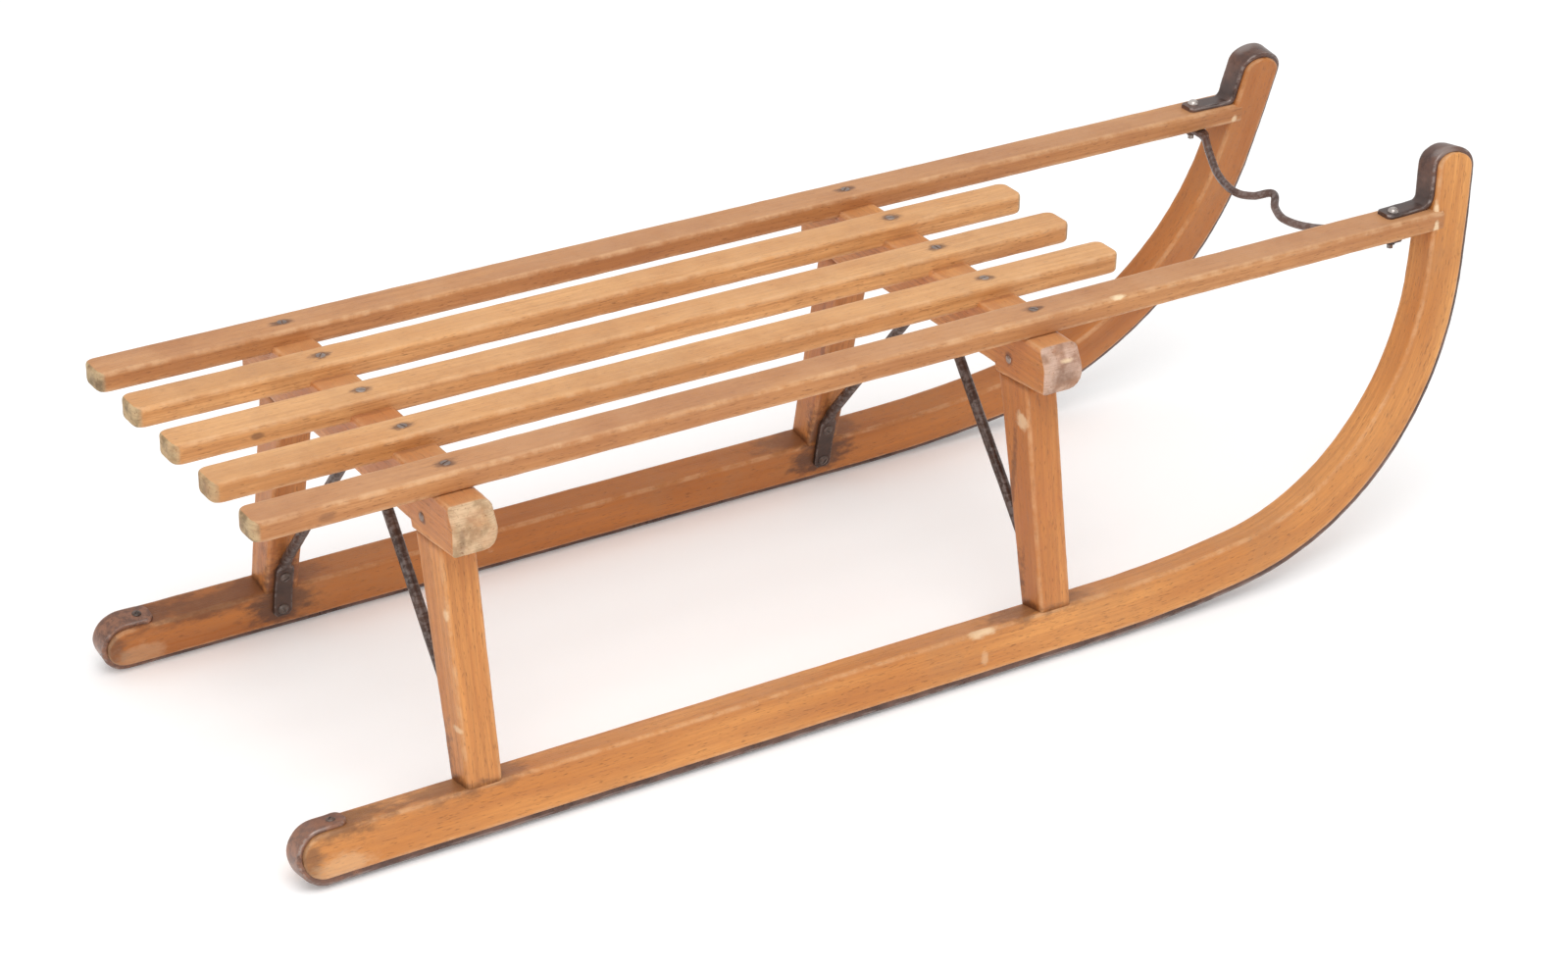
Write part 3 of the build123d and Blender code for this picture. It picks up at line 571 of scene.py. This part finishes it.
def bandPath(side):
    # (wood surface point, outward direction, thickness, width, across) from the tab to the hold on the rail
    h, crown, wide, across = runner["height"], runner["crown"], band["width"], inwardOf(side)
    path = []
    for d in sorted(set(endSteps(band["tabCorner"], 6) + spread(band["tabCorner"], band["tabLength"], 4 * mm))):
        x = rearTurn + band["tabLength"] - d
        width = wide - 2 * roundedInset(max(d, 0.2 * mm), band["tabCorner"])
        skew = 1.6 * mm * (1 - d / band["tabLength"]) ** 2
        path.append((runnerPoint(side, x, h, skew), upOf(side, 0), band["tab"], width, across))
    for t in spread(0, pi, radians(9))[1:-1]:
        point = runnerPoint(side, rearTurn - h / 2 * sin(t), h / 2 + h / 2 * cos(t))
        thick = band["tab"] + (band["rear"] - band["tab"]) * sin(t / 2)
        thick = thick + (band["sole"] - band["rear"]) * max(0, (t - 2) / 1.14)
        path.append((point, upOf(side, t), thick, wide, across))
    total = sole[-1][3]
    for x, up, turn, along in sole:
        share = max(0.0, (along / total - 0.86) / 0.14)
        thick = band["sole"] + (band["crown"] - band["sole"]) * share
        path.append((runnerPoint(side, x, up), -upOf(side, turn), thick, wide, across))
    x, up, turn, along = sole[-1]
    for t in spread(0, pi, radians(9))[1:-1]:
        a, b = h / 2 * cos(t), crown * sin(t)
        point = runnerPoint(side, x - (h / 2 - a) * sin(turn) + b * cos(turn),
                            up + (h / 2 - a) * cos(turn) + b * sin(turn))
        na, nb = cos(t) / (h / 2), sin(t) / crown
        size = sqrt(na**2 + nb**2)
        na, nb = na / size, nb / size
        out = wayOf(side, na * sin(turn) + nb * cos(turn), -na * cos(turn) + nb * sin(turn))
        thick = band["crown"] - (band["crown"] - band["back"]) * t / pi
        path.append((point, out, thick, wide, across))
    # down the horn's back, round a bend and on to the rail
    back = [(runnerPoint(side, px - h * sin(pt), pu + h * cos(pt)), upOf(side, pt)) for px, pu, pt, _ in sole]
    back = [(point, out) for point, out in back if point.z > seatTop + band["bendRadius"] and point.x > boltX]
    back.reverse()
    for point, out in back:
        path.append((point, out, band["back"], wide, across))
    foot = back[-1][0]
    radius = foot.z - seatTop
    start = foot.x - radius
    level = Vector((0, -side, 0))
    for k in range(1, 7):
        share = k / 6
        t = pi / 2 * share
        out = Vector((-cos(t), 0, sin(t)))
        point = Vector((start + radius * cos(t), foot.y, foot.z - radius * sin(t)))
        width = wide + (band["holdWidth"] - wide) * share
        path.append((point, out, band["back"], width, (across * (1 - share) + level * share).normalized()))
    rest = start - boltX + band["holdLength"]
    y = foot.y + (side * (slatPitch * 2) - foot.y) * 0.35
    places = [rest - e for e in endSteps(band["holdCorner"], 6)]
    places += spread(4 * mm, rest - band["holdCorner"], 4 * mm)
    for d in sorted(set(places)):
        left = max(rest - d, 0.2 * mm)
        width = band["holdWidth"] - 2 * roundedInset(left, band["holdCorner"])
        slide = min(1.0, d / rest * 1.5)
        point = Vector((start - d, foot.y + (y - foot.y) * slide, seatTop))
        path.append((point, zAxis, band["back"], width, level))
    return path


def bandStations(side):
    stations, along, last = [], 0.0, None
    for point, out, thick, width, across in bandPath(side):
        along += (point - last).length if last is not None else 0.0
        last = point
        half, r = width / 2, min(band["round"], thick * 0.62)
        stations.append((point, across, out, (-half, half, 0.0, thick), (0.3 * mm, r, r, 0.3 * mm), along, 0.0))
    return stations


for side, name in bothSides:
    # a painted highlight patch on the horn's back
    bright = (boltX + 0.05, side * 2 * slatPitch, seatTop + 43 * mm)
    hold = (boltX + 0.015, side * 2 * slatPitch, seatTop + 10 * mm)
    rear = runnerPoint(side, rearTurn, 26 * mm)
    material = ironMaterial(f"sole_band_{name}_iron", bandLook, [(bright, (0.014, 0.008, 0.006), 0.45)],
                            (hold, (0.04, 0.026, 0.016)), (rear, (0.042, 0.03, 0.05)))
    dress(loftPiece(f"sole_band_{name}_strip", bandStations(side), material, seed=20 + side, wobble=0.25 * mm,
                    dent=0.3 * mm), "sole_iron", f"sole_band_{name}")
print("sole bands done")

# legs

leg = {"thick": 28 * mm, "headInner": 107 * mm, "headOuter": 143 * mm, "reveal": 1 * mm, "arris": 2.5 * mm,
       "padStart": 106 * mm, "padDrop": 5.5 * mm}
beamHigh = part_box("front_beam")[1]
beam = {"behind": 16 * mm, "ahead": 19 * mm, "height": 41 * mm, "footRound": 12 * mm, "browRound": 4 * mm,
        "backRound": 3 * mm, "endRound": 9 * mm, "slopeIn": 8 * mm, "slopeDown": 15 * mm, "ease": 2.5 * mm}
beamHalf, beamTop = beamHigh.y, beamHigh.z
beamFloor = beamTop - beam["height"]


def padFloor(y):
    return beamFloor - leg["padDrop"] * (beamHalf - y) / (beamHalf - leg["padStart"])


def legHead(x, side, y):
    return Vector((x, side * y, padFloor(y)))


def legStations(x, side):
    footIn = runnerPoint(side, x, runner["height"], runner["width"] / 2)
    footOut = runnerPoint(side, x, runner["height"], leg["reveal"] - runner["width"] / 2)
    headIn, headOut = legHead(x, side, leg["headInner"]), legHead(x, side, leg["headOuter"])
    length = (headIn - footIn).length
    stations = []
    for d in spread(-1.5 * mm, length + 1.0 * mm, 9 * mm):
        share = d / length
        inner, outer = footIn.lerp(headIn, share), footOut.lerp(headOut, share)
        half = (outer - inner).length / 2
        spans = (-leg["thick"] / 2, leg["thick"] / 2, -half, half)
        stations.append((inner.lerp(outer, 0.5), xAxis, (outer - inner).normalized(), spans,
                         (leg["arris"],) * 4, d, 0.0))
    return stations


legMarks = {("rear", -1): [((-0.397, -0.15, 0.17), (0.003, 0.004, 0.005), 0.45),
                           ((-0.397, -0.165, 0.085), (0.003, 0.01, 0.003), 0.5)],
            ("front", -1): [((0.0935, -0.14, 0.19), (0.003, 0.008, 0.008), 0.6)]}
for label, x in beamPlaces.items():
    for side, name in bothSides:
        foot = runnerPoint(side, x, runner["height"], 0)
        knee = runnerPoint(side, x, runner["height"] + 16 * mm, runner["width"] / 2)
        # the last patch, a dark band at the leg's head just under the beam, is painted shade
        stainsAndPaintedLight = [(foot, (0.03, 0.022, 0.008), 0.62), (knee, (0.019, 0.01, 0.044), 0.82),
                  ((x, side * 0.122, beamFloor - 4 * mm), (0.03, 0.03, 0.004), 0.35)]
        if label == "front":
            # painted shadow: a dark line down the front leg's inner side
            stainsAndPaintedLight.append(((x - 0.012, side * 0.133, 0.13), (0.006, 0.004, 0.07), 0.55))
        chips = legMarks.get((label, side), ())
        material = woodMaterial(f"leg_{label}_{name}_wood", trestleLook, stainsAndPaintedLight, chips)
        dress(loftPiece(f"leg_{label}_{name}_post", legStations(x, side), material, seed=30 + side + 3 * x),
              "trestle_wood", f"leg_{label}_{name}")
print("legs done")

# beams


def beamStations(x):
    ends = endSteps(beam["ease"], 5)
    outer = [beamHalf - d for d in ends]
    outer += spread(beamHalf - beam["ease"], beamHalf - beam["slopeIn"], 2 * mm)[1:]
    outer += [y * mm for y in (156, 150, 143, 136, 128, 120, 115.2, 114.8, 110, 106.6, 104.6)]
    outer += spread(100 * mm, 0, 10 * mm)
    half = sorted(set(round(y, 7) for y in outer), reverse=True)
    stations = []
    for y in half + [-v for v in reversed(half[:-1])]:
        reach = abs(y)
        floor = padFloor(reach) if reach > 105.5 * mm else beamFloor
        top = beamTop if reach < 115 * mm else seatFloor
        high = beam["browRound"] if reach < 115 * mm else beam["endRound"]
        fromEnd = beamHalf - reach
        ease = roundedInset(fromEnd, beam["ease"])
        slope = max(0.0, 1 - fromEnd / beam["slopeIn"]) * beam["slopeDown"]
        spans = (-beam["behind"] + ease, beam["ahead"] - ease, floor + ease, top - max(ease, slope))
        r = beam["backRound"]
        radii = (beam["footRound"], high, r, r)
        end = max(0.0, min(1.0, 3.0 - fromEnd / (4 * mm)))
        stations.append((Vector((x, y, 0)), xAxis, zAxis, spans, radii, y, end))
    return stations


beamEnds = {"rear": ((0.4, 0.26, 0.14), (0.66, 0.46, 0.28)), "front": ((0.33, 0.19, 0.13), (0.58, 0.39, 0.3))}
for label, x in beamPlaces.items():
    stainsAndPaintedLight = [((x - beam["behind"], side * 0.122, 0.234), (0.004, 0.006, 0.0055), 0.75) for side in (1, -1)]
    # painted shade: dark lines on the beam top along each slat's edges, where the slats rest on it
    stainsAndPaintedLight += [((x, row * slatPitch + shift * 17 * mm, beamTop), (0.02, 0.003, 0.003), 0.35)
               for row in (-1, 0, 1) for shift in (1, -1)]
    if label == "rear":
        stainsAndPaintedLight.append(((x + 0.003, -beamHalf, 0.252), (0.0028, 0.003, 0.0028), 0.6))
        stainsAndPaintedLight.append(((x - 0.009, -beamHalf, 0.236), (0.0028, 0.004, 0.012), 0.3))
        chips = []
    else:
        stainsAndPaintedLight.append(((x - beam["behind"], -0.137, 0.219), (0.0022, 0.0016, 0.0016), 0.8))
        stainsAndPaintedLight.append(((x + 0.004, -beamHalf, 0.238), (0.012, 0.004, 0.012), 0.22))
        chips = [((x + 0.004, -beamHalf, 0.247), (0.007, 0.004, 0.0022), 0.7)]
    look = dict(trestleLook, endDark=beamEnds[label][0], endLight=beamEnds[label][1])
    material = woodMaterial(f"{label}_beam_wood", look, stainsAndPaintedLight, chips)
    dress(loftPiece(f"{label}_beam_shaped", beamStations(x), material, seed=40 + 5 * x, dent=0.4 * mm),
          "trestle_wood", f"{label}_beam")
print("beams done")

# braces and tow bar, swept along rounded paths


def straightWalk(start, stop, course, step):
    shares = spread(0, 1, step / max((stop - start).length, step))[1:]
    return [(start.lerp(stop, share), course) for share in shares]


def roundedPath(points, radii, step=3 * mm):
    # points with a radius at each inner corner, walked as (point, direction)
    points = [Vector(p) for p in points]
    walk = [(points[0], (points[1] - points[0]).normalized())]
    start = points[0]
    for previous, corner, following, radius in zip(points, points[1:], points[2:], radii):
        before, after = (corner - previous).normalized(), (following - corner).normalized()
        angle = before.angle(after)
        reach = radius * tan(angle / 2)
        entry, leave = corner - before * reach, corner + after * reach
        walk += straightWalk(start, entry, before, step)
        side = (after - before * before.dot(after)).normalized()
        for t in spread(0, angle, radians(8))[1:]:
            point = entry + before * (radius * sin(t)) + side * (radius * (1 - cos(t)))
            walk.append((point, before * cos(t) + side * sin(t)))
        start = leave
    last = (points[-1] - points[-2]).normalized()
    return walk + straightWalk(start, points[-1], last, step)


def keyed(keys, at):
    # smooth steps between (distance, values...) keys
    for low, high in zip(keys, keys[1:]):
        if at <= high[0]:
            share = max(0.0, (at - low[0]) / (high[0] - low[0]))
            share = share * share * (3 - 2 * share)
            return [a + (b - a) * share for a, b in zip(low[1:], high[1:])]
    return list(keys[-1][1:])


def barStations(walk, keys, cornerRadius, hint=xAxis):
    # keys give width, thickness and corner radius by distance from the nearer end
    lengths = [0.0]
    for (a, _), (b, _) in zip(walk, walk[1:]):
        lengths.append(lengths[-1] + (b - a).length)
    total = lengths[-1]
    stations = []
    for (point, direction), along in zip(walk, lengths):
        fromEnd = min(along, total - along)
        width, thick, radius = keyed(keys, fromEnd)
        width -= 2 * roundedInset(max(fromEnd, 0.3 * mm), cornerRadius)
        across = (hint - direction * hint.dot(direction)).normalized()
        up = direction.cross(across)
        spans = (-width / 2, width / 2, -thick / 2, thick / 2)
        stations.append((point, across, up, spans, (radius,) * 4, along, 0.0))
    return stations


brace = {"rod": 8.5 * mm, "plateWidth": 15 * mm, "plateThick": 4 * mm, "rise": 25 * mm, "drop": 22.5 * mm,
         "pad": 26 * mm, "corner": 4 * mm,
         "bends": [radius * mm for radius in (60, 12, 14, 12, 5, 5, 12, 14, 12, 60)]}


def legFrame(side):
    footIn = runnerPoint(side, 0, runner["height"], runner["width"] / 2)
    legUp = (legHead(0, side, leg["headInner"]) - footIn).normalized()
    legIn = Vector((0, -side * legUp.z, side * legUp.y))
    return footIn, legUp, legIn


def bracePoints(x, side):
    footIn, legUp, legIn = legFrame(side)
    runnerIn, runnerDown = inwardOf(side), -upOf(side, 0)
    half = brace["plateThick"] / 2
    top = footIn + legUp * brace["rise"]
    points = [footIn + runnerDown * brace["drop"] + runnerIn * half,
              footIn + (runnerIn + legIn).normalized() * half, top + legIn * half,
              top + legUp * 12 * mm + legIn * (brace["rod"] / 2 + 1 * mm)]
    padEnd = Vector((0, side * brace["pad"] / 2, beamFloor - half))
    points += [padEnd + Vector((0, side * 9 * mm, -6.6 * mm)), padEnd]
    return [point + xAxis * x for point in points]


for label, x in beamPlaces.items():
    left, right = bracePoints(x, 1), bracePoints(x, -1)
    walk = roundedPath(left + right[::-1], brace["bends"], 2.6 * mm)
    w, t, r = brace["plateWidth"], brace["plateThick"], brace["rod"]
    middle = sum((b[0] - a[0]).length for a, b in zip(walk, walk[1:])) / 2
    plate, rod, pad = (w, t, 0.9 * mm), (r, r, r / 2), (w, t, 1.2 * mm)
    keys = [(0, *plate), (44 * mm, *plate), (50 * mm, r * 1.1, r * 0.8, r * 0.38), (64 * mm, *rod),
            (middle - 27 * mm, *rod), (middle - 12 * mm, *pad), (middle, *pad)]
    material = ironMaterial(f"{label}_brace_iron", forgedLook)
    piece = loftPiece(f"{label}_brace_forged", barStations(walk, keys, brace["corner"]), material, seed=50 + x,
                      wobble=0.3 * mm, dent=0.12 * mm)
    dress(piece, "forged_iron", f"{label}_brace")
print("braces done")

tow = {"rod": 6.6 * mm, "plateWidth": 11 * mm, "plateThick": 4 * mm, "slope": radians(32),
       "depth": 32 * mm, "valley": 28 * mm, "notch": 15 * mm}
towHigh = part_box("tow_bar")[1]


def bowPoint(y, depth):
    z = seatFloor - tow["plateThick"] / 2 - depth * sin(tow["slope"])
    return Vector((boltX - depth * cos(tow["slope"]), y, z))


def smoothPath(points, steps=12):
    # an even curve through the points, walked as (point, direction)
    points = [2 * points[0] - points[1]] + points + [2 * points[-1] - points[-2]]
    walk = []
    for before, first, second, after in zip(points, points[1:], points[2:], points[3:]):
        handle = (second - first).length / 3
        leave = first + (second - before).normalized() * handle
        arrive = second - (after - first).normalized() * handle
        for k in range(steps):
            t = k / steps
            place = (first * (1 - t) ** 3 + leave * (3 * t * (1 - t) ** 2) + arrive * (3 * t**2 * (1 - t))
                     + second * t**3)
            course = ((leave - first) * (1 - t) ** 2 + (arrive - leave) * (2 * t * (1 - t))
                      + (second - arrive) * t**2)
            walk.append((place, course.normalized()))
    walk.append((points[-2], (points[-1] - points[-2]).normalized()))
    return walk


bowHalf = [(towHigh.y, 0), (railLow.y + 6 * mm, 0), (railLow.y - 4 * mm, 1.5 * mm), (88 * mm, 13 * mm),
           (60 * mm, 26.5 * mm), (tow["valley"] + 4 * mm, tow["depth"]), (14 * mm, 27 * mm)]
bowOuter = [bowPoint(y, depth) for y, depth in bowHalf] + [bowPoint(0, tow["depth"] - tow["notch"])]
bow = bowOuter + [Vector((p.x, -p.y, p.z)) for p in bowOuter[-2::-1]]
w, t, r = tow["plateWidth"], tow["plateThick"], tow["rod"]
keys = [(0, w, t, 1.2 * mm), (22 * mm, w, t, 1.2 * mm), (34 * mm, r, r, r / 2), (60 * mm, r, r, r / 2)]
towLook = dict(forgedLook, dark=(0.08, 0.045, 0.037), mid=(0.15, 0.09, 0.073), rough=(0.24, 0.38),
               rusting=0.2, grit=0.0001, pitted=0.08)
towPiece = loftPiece("tow_bar_bent", barStations(smoothPath(bow), keys, 3 * mm),
                     ironMaterial("tow_bar_iron", towLook), seed=57, wobble=0.3 * mm, dent=0.1 * mm)
dress(towPiece, "forged_iron", "tow_bar")
print("tow bar done")

# screws, pins and bolts

headParts = ("radius", "rise", "rim", "slot", "slotDepth", "shank")
headSizes = {  # in millimetres
    "slat": (3.6, 0.35, 0.15, 1.0, 0.9, 2.1),
    "sole": (3.4, 0.15, 0.05, 1.0, 0.8, 1.8),
    "brace": (4.5, 2.4, 0.3, 1.1, 1.0, 2.0),
    "crown": (4.2, 2.2, 0.3, 1.1, 0.9, 2.0),
    "tab": (3.6, 1.5, 0.2, 1.0, 0.7, 1.8),
    "pin": (3.2, 1.3, 0.2, 0.0, 0.0, 1.9),
    "bolt": (4.6, 3.1, 0.3, 0.0, 0.0, 2.5),
}
heads = {kind: {part: size * mm for part, size in zip(headParts, sizes)} for kind, sizes in headSizes.items()}


def lathe(profile, segments=28):
    angles = [2 * pi * k / segments for k in range(segments)]
    verts = [(radius * cos(t), radius * sin(t), height) for radius, height in profile for t in angles]
    return verts, tubeFaces(len(profile), segments)


def headMesh(name, look, shankLength):
    r, rise = look["radius"], look["rise"]
    ball = (r**2 + rise**2) / (2 * rise)
    arc = []
    for k in range(7):
        t = k / 6.3
        radius = r * (1 - t)
        arc.append((radius, look["rim"] + rise - ball + sqrt(max(ball**2 - radius**2, 0))))
    stem = [(look["shank"], -shankLength), (look["shank"], -0.8 * mm), (r * 0.97, -0.15 * mm), (r, 0.0)]
    mesh = newMesh(name, *lathe(stem + arc))
    body = newObject(name, mesh)
    if look["slot"]:
        top = look["rim"] + rise
        s, d = look["slot"] / 2, look["slotDepth"]
        corners = [(x, y, z) for x in (-2 * r, 2 * r) for y in (-s, s) for z in (top - d, top + 2 * mm)]
        sides = [(0, 1, 3, 2), (4, 6, 7, 5), (0, 4, 5, 1), (2, 3, 7, 6), (0, 2, 6, 4), (1, 5, 7, 3)]
        cutter = newObject(name + "_slot", newMesh(name + "_slot", corners, sides))
        boolean = body.modifiers.new("slot", "BOOLEAN")
        boolean.object, boolean.operation, boolean.solver = cutter, "DIFFERENCE", "EXACT"
        bpy.context.view_layer.update()
        made = bpy.data.meshes.new_from_object(body.evaluated_get(bpy.context.evaluated_depsgraph_get()))
        bpy.data.objects.remove(cutter)
    else:
        made = mesh.copy()
    bpy.data.objects.remove(body)
    return made


def fastenerGroup(node, ending, kind, places, material, shankLength=6 * mm):
    # places: (point, outward direction, turn of the slot)
    name = f"{node}_{ending}"
    single = headMesh(name + "_head", heads[kind], shankLength)
    verts, faces = [], []
    for point, out, turn in places:
        spin = zAxis.rotation_difference(out).to_matrix().to_4x4()
        stand = Matrix.Translation(point) @ spin @ Matrix.Rotation(turn, 4, "Z")
        base = len(verts)
        verts += [stand @ v.co for v in single.vertices]
        faces += [tuple(base + i for i in polygon.vertices) for polygon in single.polygons]
    mesh = newMesh(name, verts, faces)
    layer = mesh.attributes.new("edge", "FLOAT", "POINT")
    layer.data.foreach_set("value", [0.5] * len(verts))
    piece = finishMesh(name, mesh, material)
    for polygon in mesh.polygons:
        polygon.use_smooth = len(polygon.vertices) == 4
    return dress(piece, "fasteners", node)


screwIron = ironMaterial("screw_steel", screwLook)
darkScrewLook = dict(screwLook, dark=(0.055, 0.042, 0.036), mid=(0.13, 0.1, 0.085))
pinLook = dict(screwLook, mid=(0.42, 0.33, 0.28), dark=(0.25, 0.19, 0.16), rusting=0.15)
boltLook = dict(screwLook, dark=(0.3, 0.26, 0.24), mid=(0.62, 0.57, 0.53), rusting=0.12, rough=(0.2, 0.34))
darkScrewIron = ironMaterial("brace_screw_steel", darkScrewLook)
pinIron = ironMaterial("pin_steel", pinLook)
brightIron = ironMaterial("bolt_steel", boltLook)
turns = [0.4, 1.9, 2.6, 0.9, 1.3, 2.2, 0.1, 1.6, 2.9, 0.7, 1.1, 2.4, 0.3, 1.8]
for label, x in beamPlaces.items():
    places = [(Vector((x, row * slatPitch, seatTop)), zAxis, turns[k + (5 if label == "front" else 0)])
              for k, row in enumerate(rows.values())]
    fastenerGroup(f"slat_screws_{label}", "slotted", "slat", places, screwIron)
bracePlaces, crownPlaces, pinPlaces, tabPlaces, boltPlaces = [], [], [], [], []
for side in (1, -1):
    footIn, legUp, legIn = legFrame(side)
    runnerIn, runnerDown = inwardOf(side), -upOf(side, 0)
    for x in beamPlaces.values():
        for away, facing in ((legUp * 15.5 * mm, legIn), (runnerDown * 16 * mm, runnerIn)):
            point = xAxis * x + footIn + away + facing * brace["plateThick"]
            bracePlaces.append((point, facing, turns[len(bracePlaces)]))
        pinPlaces.append((Vector((x - beam["behind"], side * 0.122, 0.23396)), -xAxis, 0.0))
    tab = runnerPoint(side, rearTurn + 11 * mm, runner["height"] + band["tab"])
    tabPlaces.append((tab, upOf(side, 0), 0.8))
    boltPlaces.append((Vector((boltX, side * 2 * slatPitch, seatTop + band["back"])), zAxis, 0.0))
for x in beamPlaces.values():
    crownPlaces.append((Vector((x, 0, beamFloor - brace["plateThick"])), -zAxis, 0.9))
fastenerGroup("brace_screws", "domed", "brace", bracePlaces, darkScrewIron)
fastenerGroup("crown_screws", "domed", "crown", crownPlaces, darkScrewIron)
fastenerGroup("tab_screws", "domed", "tab", tabPlaces, darkScrewIron)
fastenerGroup("beam_pins", "headed", "pin", pinPlaces, pinIron, 20 * mm)
fastenerGroup("horn_bolts", "domed", "bolt", boltPlaces, brightIron, 31 * mm)
solePitch = {"start": 40 * mm, "pitch": 104 * mm, "count": 7}
for side, name in bothSides:
    places = []
    for k in range(solePitch["count"]):
        point = runnerPoint(side, rearTip + solePitch["start"] + k * solePitch["pitch"], -band["sole"])
        places.append((point, -upOf(side, 0), turns[k]))
    fastenerGroup(f"sole_screws_{name}", "slotted", "sole", places, darkScrewIron)

nut = {"across": 8 * mm, "height": 4 * mm, "chamfer": 0.5 * mm}
nutVerts, nutFaces = [], []
for side in (1, -1):
    base = len(nutVerts)
    r, c, h = nut["across"] / sqrt(3), nut["chamfer"], nut["height"]
    for radius, height in ((r - c, 0), (r, c), (r, h - c), (r - c, h)):
        for k in range(6):
            t = pi / 3 * k + 0.3 * side
            y = side * 2 * slatPitch + radius * sin(t)
            nutVerts.append((boltX + radius * cos(t), y, boltHigh.z - height))
    nutFaces += tubeFaces(4, 6, base)
nutMesh = newMesh("horn_nuts_hex", nutVerts, nutFaces)
nutPiece = finishMesh("horn_nuts_hex", nutMesh, darkScrewIron)
for polygon in nutMesh.polygons:
    polygon.use_smooth = False
dress(nutPiece, "fasteners", "horn_nuts")
print("fasteners done")

# floor, light and camera

studio = {"floor": (0.93, 0.93, 0.93), "world": 0.82, "key": 44.0, "fill": 16.0, "glow": 0.13,
          "reach": 14.0}
corners = ((-1, -1), (1, -1), (1, 1), (-1, 1))
floorVerts = [(x * studio["reach"], y * studio["reach"], -0.5 * mm) for x, y in corners]
floorMesh = newMesh("studio_floor", floorVerts, [(0, 1, 2, 3)])
floorMaterial, _, floorShader = newMaterial("studio_floor_paint")
for socket, value in (("Base Color", (*studio["floor"], 1)), ("Roughness", 0.9), ("Specular IOR Level", 0.1),
                      ("Emission Color", (1, 1, 1, 1)), ("Emission Strength", studio["glow"])):
    floorShader.inputs[socket].default_value = value
floorMesh.materials.append(floorMaterial)
floorPiece = newObject("studio_floor", floorMesh)

world = bpy.data.worlds.new("studio_air")
world.use_nodes = True
air = world.node_tree.nodes["Background"].inputs
air[0].default_value, air[1].default_value = (1, 1, 1, 1), studio["world"]
bpy.context.scene.world = world


def softLight(name, place, target, size, power):
    data = bpy.data.lights.new(name, "AREA")
    data.shape, data.size, data.energy = "DISK", size, power
    lamp = newObject(name, data)
    lamp.location = place
    lamp.rotation_euler = (Vector(target) - Vector(place)).to_track_quat("-Z", "Y").to_euler()


softLight("key_softbox", (-0.6, -1.2, 3.0), (0, 0, 0.1), 2.4, studio["key"])
softLight("fill_softbox", (-2.6, -2.4, 1.6), (0, 0, 0.15), 2.0, studio["fill"])
bpy.context.scene.view_settings.view_transform = "Standard"

cameraLook = {"place": (-1.4195, -2.1659, 1.4678), "yaw": radians(57.254), "pitch": radians(-27.883),
              "roll": radians(1.23), "lens": 86.9}
yaw, pitch, roll = cameraLook["yaw"], cameraLook["pitch"], cameraLook["roll"]
forward = Vector((cos(pitch) * cos(yaw), cos(pitch) * sin(yaw), sin(pitch)))
level = Vector((sin(yaw), -cos(yaw), 0))
upright = level.cross(forward)
rightWay = level * cos(roll) + upright * sin(roll)
upWay = upright * cos(roll) - level * sin(roll)
turned = Matrix((rightWay, upWay, -forward)).transposed().to_4x4()
cameraData = bpy.data.cameras.new("studio_camera")
cameraData.lens, cameraData.sensor_width = cameraLook["lens"], 36.0
cameraData.clip_end = 60.0
camera = newObject("studio_camera", cameraData)
camera.matrix_world = Matrix.Translation(cameraLook["place"]) @ turned
bpy.context.scene.camera = camera
print("studio done")
